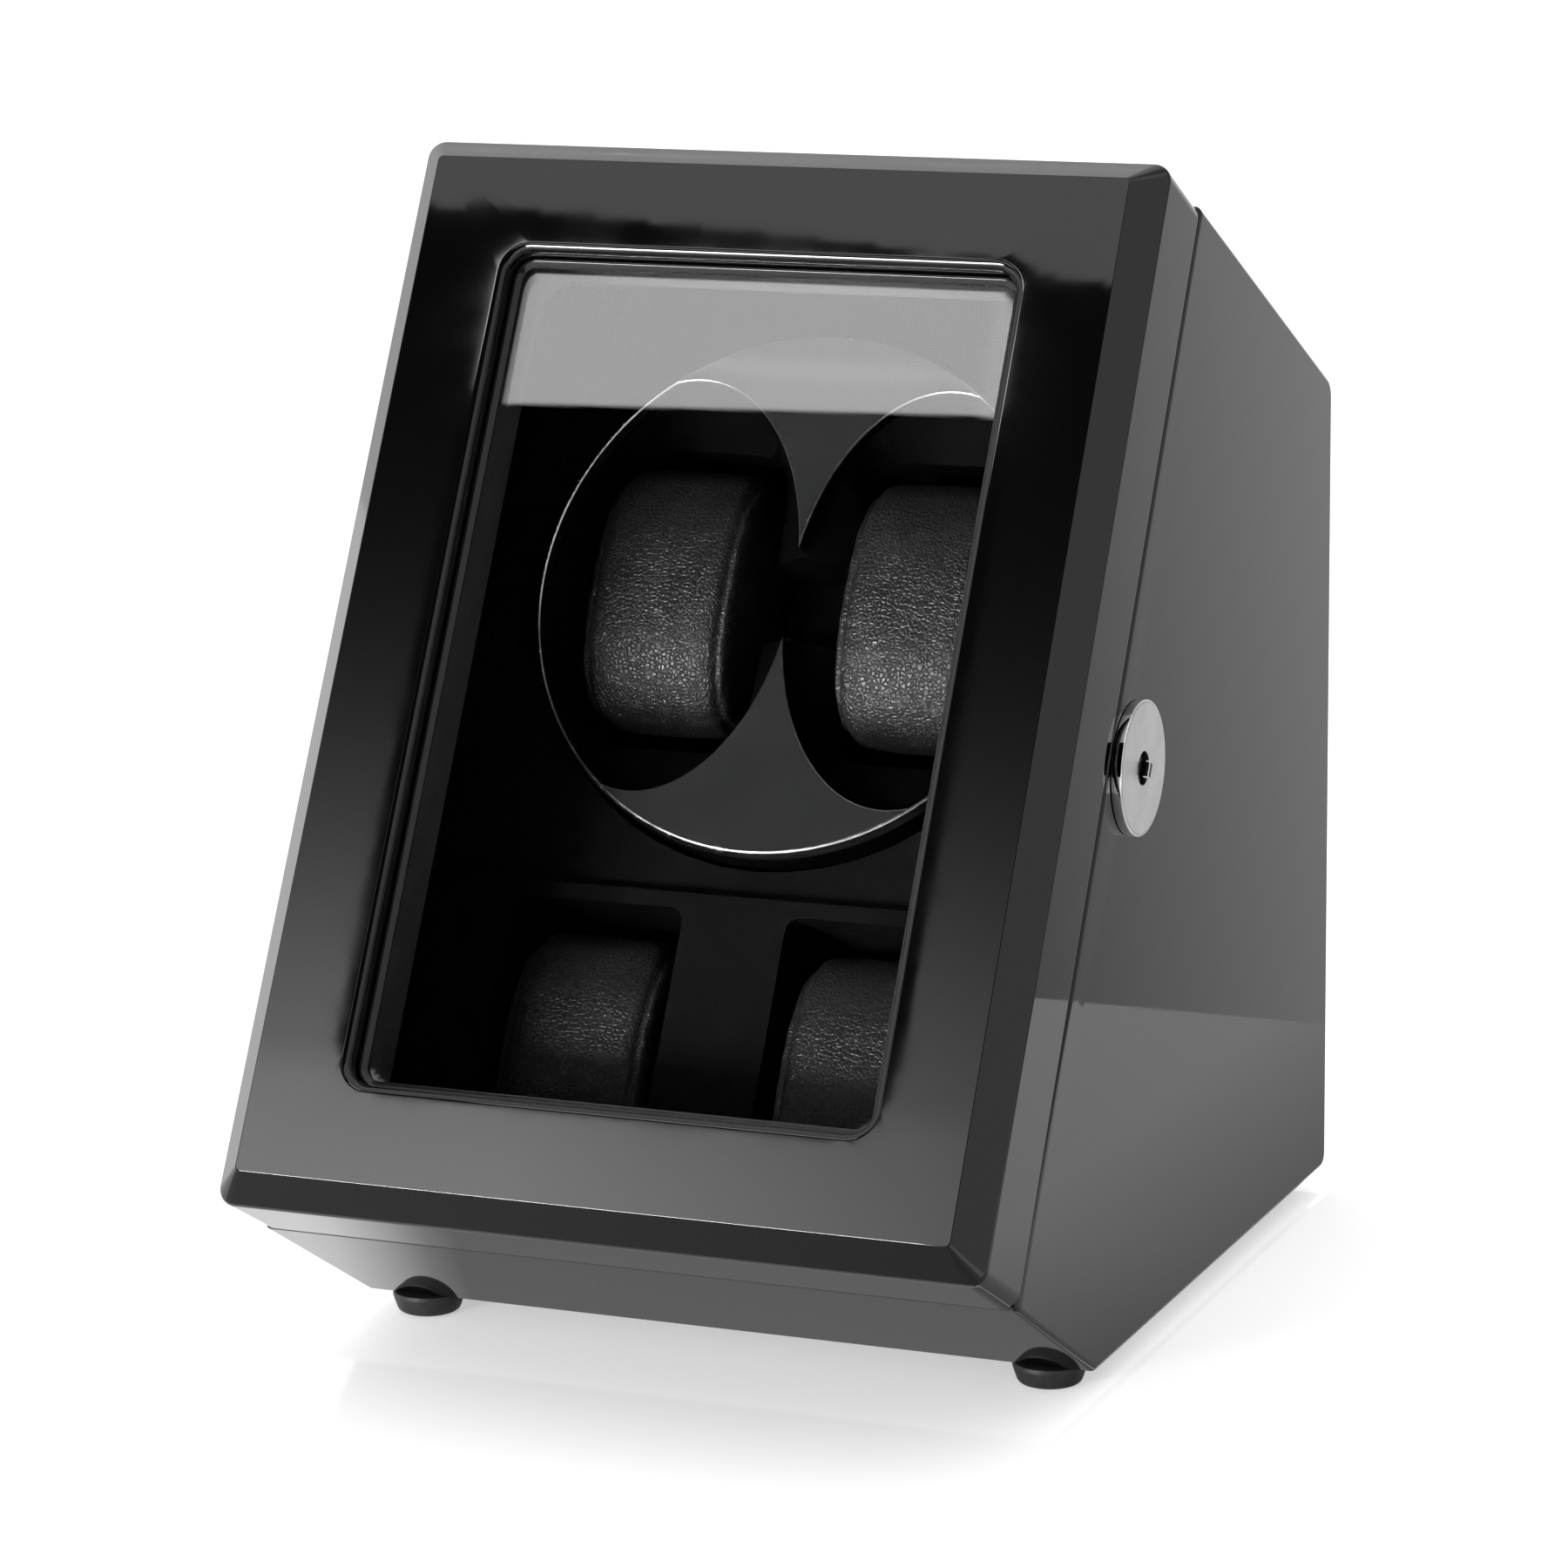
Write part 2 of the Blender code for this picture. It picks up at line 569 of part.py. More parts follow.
def window():
    """Bead, glass and the retainer that holds the glass in from behind."""
    half = DOOR_WIDTH / 2
    middle = (0, DOOR_HEIGHT / 2)
    tall = DOOR_HEIGHT / 2

    def opening(inset, radius):
        return rounded(half - inset, tall - inset, radius, middle)

    bead = hoop(opening(WINDOW_LIP + GAP, 0.001), opening(WINDOW_LIP + 0.0024, 0.006),
                0.0026, GLASS_FRONT - GAP)
    glass = prism(opening(WINDOW_WALL + 0.0005, 0.002), GLASS_FRONT,
                  GLASS_FRONT + GLASS_THICKNESS)
    behind = GLASS_FRONT + GLASS_THICKNESS + GAP
    retainer = hoop(opening(WINDOW_WALL + GAP, 0.001), opening(WINDOW_WALL + 0.0035, 0.004),
                    behind, behind + 0.0035)
    for name, solid, finish in (("window_bead", bead, PLASTIC), ("window_glass", glass, GLASS),
                                ("glass_retainer", retainer, PLASTIC)):
        add(name, to_pivot(solid, DOOR_PIVOT), finish, DOOR_PIVOT)


def hinges():
    """Two butt hinges: the case leaf has two knuckles, the door leaf the one between them."""
    third = HINGE_LENGTH / 3
    bore = PIN_RADIUS + PIN_CLEARANCE
    for end, height in HINGE_HEIGHTS.items():
        low = height - HINGE_LENGTH / 2
        spans = [(low, low + third - GAP / 2), (low + third + GAP / 2, low + 2 * third - GAP / 2),
                 (low + 2 * third + GAP / 2, low + HINGE_LENGTH)]
        case_side = (CASE_FRONT + GAP / 2, CASE_FRONT + GAP / 2 + LEAF_THICKNESS)
        door_side = (DOOR_DEPTH - GAP / 2 - LEAF_THICKNESS, DOOR_DEPTH - GAP / 2)
        leaf_case = leaf_outline(case_side, -CASE_HALF + LEAF_WIDTH)
        leaf_door = leaf_outline(door_side, -DOOR_WIDTH / 2 + LEAF_WIDTH)
        wide = block((HINGE_X + KNUCKLE_RADIUS + LEAF_CLEARANCE, -CASE_HALF + LEAF_WIDTH),
                     case_side, (low, low + HINGE_LENGTH))
        case_leaf = add(f"hinge_{end}_case_leaf", wide, BRASS)
        for part, span in (("bottom", spans[0]), ("top", spans[2])):
            knuckle = prism(leaf_case, span[0], span[1], "Z")
            boolean(case_leaf, add(f"guide_{end}_{part}_knuckle", knuckle, None), "UNION")
        case_bore = disc(bore, low - PASS, low + HINGE_LENGTH + PASS, "Z", SMALL_STEPS,
                         (HINGE_X, HINGE_Y))
        boolean(case_leaf, add(f"cut_{end}_case_bore", case_bore, None))

        slab = block((HINGE_X + KNUCKLE_RADIUS + LEAF_CLEARANCE, -DOOR_WIDTH / 2 + LEAF_WIDTH),
                     door_side, (low, low + HINGE_LENGTH))
        door_leaf = add(f"hinge_{end}_door_leaf", to_pivot(slab, DOOR_PIVOT), BRASS, DOOR_PIVOT)
        knuckle = to_pivot(prism(leaf_door, spans[1][0], spans[1][1], "Z"), DOOR_PIVOT)
        boolean(door_leaf, add(f"guide_{end}_door_knuckle", knuckle, None, DOOR_PIVOT), "UNION")
        door_bore = disc(bore, low - PASS, low + HINGE_LENGTH + PASS, "Z", SMALL_STEPS,
                         (HINGE_X, HINGE_Y))
        boolean(door_leaf, add(f"cut_{end}_door_bore", to_pivot(door_bore, DOOR_PIVOT), None,
                               DOOR_PIVOT))

        inner, outer = PIN_HEAD
        top = low + HINGE_LENGTH
        pin = turned([(0, low - outer), (PIN_HEAD_RADIUS, low - outer),
                      (PIN_HEAD_RADIUS, low - inner),
                      (PIN_RADIUS, low - inner), (PIN_RADIUS, top + inner),
                      (PIN_HEAD_RADIUS, top + inner), (PIN_HEAD_RADIUS, top + outer),
                      (0, top + outer)], "Z", SMALL_STEPS, (HINGE_X, HINGE_Y))
        add(f"hinge_{end}_pin", pin, BRASS)


def leaf_outline(leaf, reach):
    """Section of a knuckle: a circle round the pin with a strip that runs into the leaf."""
    low, high = leaf
    points = []
    steps = 18
    low, high = low + STRIP_INSET, high - STRIP_INSET
    start = math.asin((low - HINGE_Y) / KNUCKLE_RADIUS)
    end = math.asin((high - HINGE_Y) / KNUCKLE_RADIUS)
    for i in range(steps + 1):
        angle = end + (math.tau - (end - start)) * i / steps
        points.append((HINGE_X + KNUCKLE_RADIUS * math.cos(angle),
                       HINGE_Y + KNUCKLE_RADIUS * math.sin(angle)))
    return points + [(reach - 0.002, low), (reach - 0.002, high)]


def catch():
    """Magnet in the door, steel keeper in the case, strike plate for the lock's cam."""
    sunk = 0.0001
    magnet = disc(MAGNET_RADIUS, DOOR_DEPTH - sunk - MAGNET_LENGTH, DOOR_DEPTH - sunk, "Y",
                  SMALL_STEPS, MAGNET_PLACE)
    keeper = disc(MAGNET_RADIUS, CASE_FRONT + sunk, CASE_FRONT + sunk + MAGNET_LENGTH, "Y",
                  SMALL_STEPS, MAGNET_PLACE)
    add("door_magnet", to_pivot(magnet, DOOR_PIVOT), STEEL, DOOR_PIVOT)
    add("case_keeper", keeper, STEEL)
    middle = LOCK_HEIGHT + STRIKE_RISE
    plate = hoop(rounded(*STRIKE_HALF, 0.001, (STRIKE_X, middle), 2),
                 rounded(*STRIKE_SLOT_HALF, 0.001, (STRIKE_SLOT_X, middle), 2),
                 DOOR_DEPTH - sunk - STRIKE_THICKNESS, DOOR_DEPTH - sunk)
    add("strike_plate", to_pivot(plate, DOOR_PIVOT), STEEL, DOOR_PIVOT)


# --- Lock ---------------------------------------------------------------------------------

def lock():
    """Cam lock in the right wall: body with its cover disc, nut, barrel, key stub and cam."""
    face = CASE_HALF + GAP + LOCK_PROUD
    inside = INNER_HALF - LOCK_INSIDE
    keyhole_floor = face - KEYHOLE_DEPTH
    body = turned([(LOCK_RADIUS, CASE_HALF + GAP), (LOCK_RADIUS, face - 0.0004),
                   (LOCK_RADIUS - 0.0004, face), (KEYHOLE_RADIUS, face),
                   (KEYHOLE_RADIUS, keyhole_floor), (BARREL_BORE, keyhole_floor),
                   (BARREL_BORE, inside), (LOCK_BARREL_HOUSING, inside),
                   (LOCK_BARREL_HOUSING, CASE_HALF + GAP)],
                  "X", ROUND_STEPS, (0, 0), closed=True)
    add("lock_body", body, CHROME, LOCK_PIVOT)
    nut = hoop(hexagon(NUT_RADIUS), circle(LOCK_BORE, SMALL_STEPS),
               INNER_HALF - GAP - NUT_THICKNESS, INNER_HALF - GAP, "X")
    add("lock_nut", nut, STEEL, LOCK_PIVOT)
    tail, shoulder, nose = inside - 0.0010, keyhole_floor - 0.0004, face - 0.0012
    barrel = turned([(0, tail), (BARREL_RADIUS, tail), (BARREL_RADIUS, shoulder),
                     (KEYHOLE_RADIUS - 0.0005, shoulder), (KEYHOLE_RADIUS - 0.0005, nose),
                     (0, nose)], "X", SMALL_STEPS)
    add("lock_barrel", barrel, STEEL, LOCK_PIVOT)
    key = prism(rounded(*KEY_HALF, 0.0003, (0, -0.0004), 2), nose + GAP, KEY_END, "X")
    add("lock_key", key, CHROME, LOCK_PIVOT)
    wide, cut, back = CAM_HALF_WIDTH, 0.002, tail - GAP
    cam = prism([(-wide, -CAM_TAIL), (wide, -CAM_TAIL), (wide, CAM_REACH - cut),
                 (wide - cut, CAM_REACH), (cut - wide, CAM_REACH), (-wide, CAM_REACH - cut)],
                back - CAM_THICKNESS, back, "X")
    add("lock_cam", cam, STEEL, LOCK_PIVOT)


# --- Inside -------------------------------------------------------------------------------

def fascia():
    """Lined board round the turntable, above the storage tray."""
    half = INNER_HALF - GAP
    top = DOOR_HEIGHT - CASE_INSET - WALL - 0.0006
    board = prism([(-half, FASCIA_BOTTOM), (half, FASCIA_BOTTOM), (half, top), (-half, top)],
                  FASCIA_FRONT, FASCIA_FRONT + FASCIA_THICKNESS)
    piece = add("fascia", board, LINING)
    hole = disc(FASCIA_HOLE, FASCIA_FRONT - PASS, FASCIA_FRONT + FASCIA_THICKNESS + PASS,
                centre=(0, DISC_HEIGHT))
    boolean(piece, add("cut_fascia_hole", hole, None))


def tray():
    """Lined storage tray with two pockets for the spare pillows."""
    half = INNER_HALF - GAP
    body = add("storage_tray", block((-half, half), (TRAY_FRONT, TRAY_BACK),
                                     (TRAY_BOTTOM, TRAY_TOP)), LINING)
    for side, x in (("left", -TRAY_OFFSET), ("right", TRAY_OFFSET)):
        pocket = prism(rounded(POCKET_HALF_WIDTH, TRAY_POCKET_HALF_HEIGHT, 0.004,
                               (x, STORED_HEIGHT)), TRAY_FRONT - PASS, TRAY_BACK - TRAY_FLOOR)
        boolean(body, add(f"cut_tray_{side}", pocket, None))


def pillow(name, frame, x, z, front):
    """A plain stand-in for a padded leather pillow: an oval section with rounded ends."""
    depth = front + PILLOW_HALF_DEPTH
    steps = 24
    solid = bmesh.new()
    rings = []
    for width, scale in ((-1, PILLOW_EDGE), (-PILLOW_FLANK, 1), (PILLOW_FLANK, 1), (1, PILLOW_EDGE)):
        ring = []
        for i in range(steps):
            angle = math.tau * (i + 0.5) / steps
            c, s = math.cos(angle), math.sin(angle)
            power = 2 / PILLOW_POWER
            a = math.copysign(abs(c) ** power, c) * PILLOW_HALF_DEPTH * scale
            b = math.copysign(abs(s) ** power, s) * PILLOW_HALF_HEIGHT * scale
            ring.append(solid.verts.new((x + width * PILLOW_HALF_WIDTH, depth + a, z + b)))
        rings.append(ring)
    cap_and_wall(solid, rings)
    add(name, solid, LEATHER, frame)


def pillows():
    for side, sign in (("left", -1), ("right", 1)):
        pillow(f"pillow_{side}", DISC_PIVOT, sign * WELL_OFFSET, 0, PILLOW_FRONT)
        pillow(f"stored_pillow_{side}", SLANT, sign * TRAY_OFFSET, STORED_HEIGHT, STORED_FRONT)


# --- Turntable ----------------------------------------------------------------------------

def oval(aim, half_width, half_height, power):
    """Distance from an oval's centre to its edge, along the unit vector aim."""
    a, b = abs(aim[0]) / half_width, abs(aim[1]) / half_height
    return (a ** power + b ** power) ** (-1 / power)


def well_outlines(sign):
    """A well's mouth and the pocket below it, around the same centre.

    The mouth is an ellipse cut off by the rim of the turntable; the pocket is nearly a
    rectangle.
    """
    centre = sign * WELL_OFFSET
    limit = DISC_RADIUS - WELL_RIM
    mouth, pocket = [], []
    for aim in circle(1.0, ROUND_STEPS, turn=math.pi / ROUND_STEPS):
        along = centre * aim[0]
        to_rim = -along + math.sqrt(along ** 2 - centre ** 2 + limit ** 2)
        reach = min(oval(aim, WELL_HALF_WIDTH, WELL_HALF_HEIGHT, 2), to_rim)
        mouth.append((centre + reach * aim[0], reach * aim[1]))
        reach = oval(aim, POCKET_HALF_WIDTH, POCKET_HALF_HEIGHT, POCKET_POWER)
        pocket.append((centre + reach * aim[0], reach * aim[1]))
    return mouth, pocket


def turntable():
    """Glossy plate and the moulded drum behind it, both with two wells."""
    plate = add("turntable_plate",
                turned([(0, DISC_FRONT), (DISC_RADIUS - PLATE_EDGE, DISC_FRONT),
                        (DISC_RADIUS, DISC_FRONT + PLATE_EDGE),
                        (DISC_RADIUS, DISC_FRONT + DISC_THICKNESS),
                        (0, DISC_FRONT + DISC_THICKNESS)], steps=72), GLOSS, DISC_PIVOT)
    drum = add("turntable_drum", disc(DISC_RADIUS, DRUM_FRONT, DRUM_BACK, steps=72), PLASTIC,
               DISC_PIVOT)
    floor = DRUM_FRONT + WELL_DEPTH
    for side, sign in (("left", -1), ("right", 1)):
        mouth, pocket = well_outlines(sign)
        hole = prism(mouth, DISC_FRONT - PASS, DISC_FRONT + DISC_THICKNESS + PASS)
        boolean(plate, add(f"cut_plate_{side}", hole, None, DISC_PIVOT))
        solid = bmesh.new()
        rings = []
        for outline, depth in ((mouth, DRUM_FRONT - PASS), (mouth, DRUM_FRONT + WELL_LAND),
                               (pocket, DRUM_FRONT + WELL_SLOPE), (pocket, floor)):
            rings.append([solid.verts.new((x, depth, z)) for x, z in outline])
        cap_and_wall(solid, rings)
        boolean(drum, add(f"cut_drum_{side}", solid, None, DISC_PIVOT))
    notch = block((-NOTCH_HALF_WIDTH, NOTCH_HALF_WIDTH), (DRUM_FRONT - PASS, DRUM_FRONT + NOTCH_DEPTH),
                  (-NOTCH_HALF_HEIGHT, NOTCH_HALF_HEIGHT))
    boolean(drum, add("cut_drum_notch", notch, None, DISC_PIVOT))


def gear_outline(teeth, turn, centre=(0, 0)):
    """Involute teeth with a little backlash; turn is the angle of one tooth's middle."""
    pitch = GEAR_MODULE * teeth / 2
    base = pitch * math.cos(math.radians(20))
    root = pitch - 1.15 * GEAR_MODULE
    tip = pitch + 0.85 * GEAR_MODULE
    slack = 0.10 * GEAR_MODULE / pitch
    half = math.pi / (2 * teeth) - slack

    def lean(radius):
        if radius <= base:
            return 0.0
        opening = math.sqrt((radius / base) ** 2 - 1)
        return opening - math.atan(opening)

    widest = half + lean(pitch)
    flank = [root, max(root + 0.0003, base), pitch, tip]
    points = []
    for i in range(teeth):
        middle = turn + math.tau * i / teeth
        for side in (-1, 1):
            radii = flank if side < 0 else flank[::-1]
            for radius in radii:
                angle = middle + side * (widest - lean(radius))
                points.append((centre[0] + radius * math.cos(angle),
                               centre[1] + radius * math.sin(angle)))
    return points


def gear(name, teeth, turn, bore, frame):
    """A spur gear with a round bore, as a prism cut by a disc."""
    wheel = prism(gear_outline(teeth, turn), GEAR_FRONT, GEAR_FRONT + GEAR_THICKNESS)
    piece = add(name, wheel, NYLON, frame)
    hole = disc(bore, GEAR_FRONT - PASS, GEAR_FRONT + GEAR_THICKNESS + PASS,
                steps=SMALL_STEPS)
    boolean(piece, add(f"cut_{name}_bore", hole, None, frame))


def drive():
    """Turntable shaft, bush, gears, motor and the bracket that carries it."""
    half = INNER_HALF - GAP
    back = BOARD_FRONT + BOARD_THICKNESS
    board = add("motor_board", block((-half, half), (BOARD_FRONT, back), (BOARD_BOTTOM, BOARD_TOP)),
                BOARD)
    bush_hole = disc(BUSH_RADIUS + GAP, BOARD_FRONT - PASS, back + PASS, steps=SMALL_STEPS,
                     centre=(0, DISC_HEIGHT))
    boolean(board, add("cut_board_bush", bush_hole, None))

    seat, end = BOARD_FRONT - GAP, back + BUSH_PROUD
    nose = seat - BUSH_FLANGE_THICKNESS
    bush = turned([(BUSH_RADIUS, end), (BUSH_RADIUS, seat), (BUSH_FLANGE, seat),
                   (BUSH_FLANGE, nose), (SHAFT_RADIUS + GAP, nose), (SHAFT_RADIUS + GAP, end)],
                  steps=SMALL_STEPS, closed=True)
    bmesh.ops.translate(bush, verts=bush.verts, vec=(0, 0, DISC_HEIGHT))
    add("shaft_bush", bush, BRASS)

    flange = DRUM_BACK + GAP
    flange_back = flange + FLANGE_THICKNESS
    tail = GEAR_FRONT + GEAR_THICKNESS + SHAFT_TAIL
    shaft = turned([(0, flange), (FLANGE_RADIUS, flange), (FLANGE_RADIUS, flange_back),
                    (SHAFT_RADIUS, flange_back), (SHAFT_RADIUS, tail), (0, tail)],
                   steps=SMALL_STEPS)
    add("turntable_shaft", shaft, STEEL, DISC_PIVOT)
    gear("drive_gear", GEAR_TEETH, math.radians(-90) + math.pi / GEAR_TEETH,
         SHAFT_RADIUS + GAP, DISC_PIVOT)
    clip_front = GEAR_FRONT + GEAR_THICKNESS + GAP
    clip = tube(CLIP_RADIUS, SHAFT_RADIUS + GAP, clip_front, clip_front + CLIP_THICKNESS,
                steps=SMALL_STEPS)
    add("shaft_clip", clip, STEEL, DISC_PIVOT)

    gear("motor_pinion", PINION_TEETH, math.radians(90), SPINDLE_RADIUS + GAP, PINION_PIVOT)
    spindle = disc(SPINDLE_RADIUS, GEAR_FRONT - 0.0005, BRACKET_FRONT + 0.0015, steps=16)
    add("motor_shaft", spindle, STEEL, PINION_PIVOT)

    axis = DISC_HEIGHT - GEAR_DISTANCE
    bracket_back = BRACKET_FRONT + BRACKET_THICKNESS
    bracket = add("motor_bracket", prism(rounded(*BRACKET_HALF, 0.004, (0, axis)), BRACKET_FRONT,
                                         bracket_back), STEEL)
    spindle_hole = disc(SPINDLE_HOLE, BRACKET_FRONT - PASS, bracket_back + PASS,
                        steps=SMALL_STEPS, centre=(0, axis))
    boolean(bracket, add("cut_bracket_hole", spindle_hole, None))
    for side, x in (("left", -SPACER_X), ("right", SPACER_X)):
        spacer = disc(SPACER_RADIUS, back + GAP, BRACKET_FRONT - GAP, steps=16,
                      centre=(x, axis - SPACER_DROP))
        add(f"bracket_spacer_{side}", spacer, BRASS)

    face = bracket_back + GAP
    end, edge = face + MOTOR_LENGTH, 0.001
    cap_radius, cap_length = MOTOR_CAP
    motor = turned([(0, face), (MOTOR_RADIUS, face), (MOTOR_RADIUS, end - edge),
                    (MOTOR_RADIUS - edge, end), (cap_radius, end),
                    (cap_radius, end + cap_length), (0, end + cap_length)], steps=32)
    bmesh.ops.translate(motor, verts=motor.verts, vec=(0, 0, axis))
    add("gear_motor", motor, STEEL)


# --- Rear controls ------------------------------------------------------------------------

def controls():
    """Panel in the back with a power socket and a programme knob, and the board behind."""
    outer = -GAP
    inner = outer - PANEL_THICKNESS + 2 * GAP
    plate = prism(rounded(PANEL_HALF_WIDTH, PANEL_HALF_HEIGHT, PANEL_CORNER), inner, outer)
    panel = add("control_panel", plate, PLASTIC, PANEL_PIVOT)
    for name, x, radius in (("cut_socket", SOCKET_X, SOCKET_HOLE),
                            ("cut_knob", KNOB_X, KNOB_STEM_HOLE)):
        hole = disc(radius, inner - PASS, outer + PASS, steps=SMALL_STEPS, centre=(x, 0))
        boolean(panel, add(name, hole, None, PANEL_PIVOT))

    rim, proud = SOCKET_RIM
    socket = turned([(0, -SOCKET_PIN_TIP), (SOCKET_PIN, -SOCKET_PIN_TIP),
                     (SOCKET_PIN, -SOCKET_FLOOR), (SOCKET_BORE, -SOCKET_FLOOR),
                     (SOCKET_BORE, outer + proud), (rim, outer + proud), (rim, outer + GAP),
                     (SOCKET_RADIUS, outer + GAP), (SOCKET_RADIUS, -SOCKET_BACK),
                     (0, -SOCKET_BACK)], steps=SMALL_STEPS, centre=(SOCKET_X, 0))
    add("power_socket", socket, PLASTIC, PANEL_PIVOT)

    switch = block((KNOB_X - SWITCH_HALF, KNOB_X + SWITCH_HALF), (-SOCKET_BACK, inner - GAP),
                   (-SWITCH_HALF, SWITCH_HALF))
    add("programme_switch", switch, PLASTIC, PANEL_PIVOT)

    skirt, crown = outer + 0.0010, KNOB_PROUD - 0.0020
    knob = turned([(0, inner), (KNOB_STEM, inner), (KNOB_STEM, skirt), (KNOB_RADIUS, skirt),
                   (KNOB_RADIUS, crown), (KNOB_RADIUS - 0.0010, KNOB_PROUD), (0, KNOB_PROUD)],
                  steps=32)
    piece = add("programme_knob", knob, PLASTIC, PANEL_PIVOT)
    piece.location.x = KNOB_X
    mark = 0.0006
    groove = block((-mark, mark), (KNOB_PROUD - mark, KNOB_PROUD + PASS),
                   (0.0005, KNOB_RADIUS + 0.0005))
    cutter = add("cut_knob_mark", groove, None, PANEL_PIVOT)
    cutter.location.x = KNOB_X
    boolean(piece, cutter)

    wide, tall = CIRCUIT_HALF
    circuit = block((-wide, wide), CIRCUIT_DEPTHS, (-tall, tall))
    add("control_board", circuit, CIRCUIT, PANEL_PIVOT)


case_sides()
case_panels()
feet()
door_rails()
window()
hinges()
catch()
lock()
fascia()
tray()
pillows()
turntable()
drive()
controls()
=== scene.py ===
"""Looks of the watch winder box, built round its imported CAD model."""
import json
import math

import bmesh
import bpy
from mathutils import Matrix, Vector
from mathutils.bvhtree import BVHTree


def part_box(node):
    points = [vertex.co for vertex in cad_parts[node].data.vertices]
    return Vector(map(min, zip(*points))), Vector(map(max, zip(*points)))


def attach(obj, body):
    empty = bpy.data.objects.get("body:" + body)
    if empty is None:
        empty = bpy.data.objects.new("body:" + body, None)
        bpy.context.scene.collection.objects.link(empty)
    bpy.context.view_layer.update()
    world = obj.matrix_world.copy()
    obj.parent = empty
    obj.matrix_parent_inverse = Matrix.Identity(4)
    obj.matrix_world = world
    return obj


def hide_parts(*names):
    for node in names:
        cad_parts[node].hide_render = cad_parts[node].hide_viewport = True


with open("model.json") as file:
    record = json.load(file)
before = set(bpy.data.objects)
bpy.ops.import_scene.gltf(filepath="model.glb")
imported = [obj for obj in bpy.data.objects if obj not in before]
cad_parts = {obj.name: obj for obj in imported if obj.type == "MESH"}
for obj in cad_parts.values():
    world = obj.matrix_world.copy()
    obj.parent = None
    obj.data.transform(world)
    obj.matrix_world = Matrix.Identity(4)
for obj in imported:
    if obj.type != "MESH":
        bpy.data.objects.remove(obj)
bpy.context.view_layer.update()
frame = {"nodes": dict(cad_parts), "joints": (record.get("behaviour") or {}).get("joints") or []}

# --- The slanted frame: x to the right, y into the case, z up along the door ---------------

JOINTS = {joint["name"]: joint for joint in frame["joints"]}
OUTWARD = Vector(JOINTS["turntable_spin"]["axis"]).normalized()
RISE = -Vector(JOINTS["door_hinge"]["axis"]).normalized()
RIGHT = Vector((1, 0, 0))


def reach(node, direction):
    """Least and greatest distance of a CAD node along a direction."""
    levels = [direction.dot(v.co) for v in frame["nodes"][node].data.vertices]
    return min(levels), max(levels)


ORIGIN = RISE * reach("door_rail_bottom", RISE)[0] + OUTWARD * reach("door_rail_bottom", OUTWARD)[1]
SLANT = Matrix((RIGHT, -OUTWARD, RISE)).transposed().to_4x4()
SLANT.translation = ORIGIN
UNSLANT = SLANT.inverted()
LEVEL = Matrix.Identity(4)


def span(node):
    """Lowest and highest corner of a CAD node in the slanted frame."""
    points = [UNSLANT @ v.co for v in frame["nodes"][node].data.vertices]
    return (Vector([min(p[i] for p in points) for i in range(3)]),
            Vector([max(p[i] for p in points) for i in range(3)]))


# Driving dimensions, in metres
HALF = reach("door_rail_bottom", RIGHT)[1]
TALL = span("door_rail_top")[1].z
DEEP = span("door_stile_lock")[1].y
CASE_FRONT = DEEP + 0.0006
CASE_HALF = reach("case_side_right", RIGHT)[1]
INNER_HALF = reach("case_side_right", RIGHT)[0]
WALL = CASE_HALF - INNER_HALF
CASE_INSET = HALF - CASE_HALF
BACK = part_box("case_back")[1].y
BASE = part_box("case_base")[0].z
TOP_SLOPE, NOSE_SLOPE = math.radians(27.85), math.radians(30)
BACK_ROUND, BASE_ROUND, SIDE_ROUND = 0.0070, 0.0045, 0.0018
SIDE_GROW = 0.0006                   # the rounded sides stand this much wider than the plain ones
TOP_LIFT = 0.0005                    # the rounded top stands this much higher than the plain one
CHAMFER_FACE, CHAMFER_DEPTH = 0.0080, 0.0090
LIP, GLASS_SEAT, INNER_WALL = 0.0350, 0.0077, 0.0310
LIP_ROUND, LIP_CORNER = 0.0025, 0.0065
OUTER_CORNER, FACE_CORNER = 0.0050, 0.0014
DISC = UNSLANT @ Vector(JOINTS["turntable_spin"]["pos_m"])
DISC_RADIUS = 0.0765
WELL_OFFSET, WELL_HALF = 0.0380, (0.0389, 0.0608)
POCKET_HALF, POCKET_POWER = (0.0262, 0.0445), 7
WELL_RIM, NOTCH = 0.0013, (0.0145, 0.0120)
NOTCH_CORNER, NOTCH_DEPTH = 0.0030, 0.026
RIM_EDGE, WELL_EDGE, NOTCH_EDGE = 0.0012, 0.0004, 0.0010
WELL_STRAIGHT, POCKET_TOP, POCKET_DEPTH = 0.0005, 0.0100, 0.0420
LOCK = UNSLANT @ Vector(JOINTS["lock_turn"]["pos_m"])
KNOB = Vector(JOINTS["programme_turn"]["pos_m"])
GRAIN = 0.00130                      # a cell of the leather's grain
PASS = 0.001                         # how far a cutter reaches past the surface that it opens
GAP, LEAF_GAP = 0.0003, 0.0004       # clearance round a part let into the wood
LOCK_HOLE, MAGNET_HOLE = 0.0094, 0.0043
LEAF_RECESS, STRIKE_RECESS = 0.0014, 0.0013
MORTISE_X, MORTISE_FRONT = (0.0860, 0.0955), 0.0270
MORTISE_BELOW, MORTISE_ABOVE = 0.008, 0.027

CAMERA = ORIGIN + Vector((0.5868, -1.2807, 0.4301))
YAW, PITCH, ROLL = 0.390524, -0.216878, -0.0120703
LENS = 129.8


# --- Materials ------------------------------------------------------------------------------

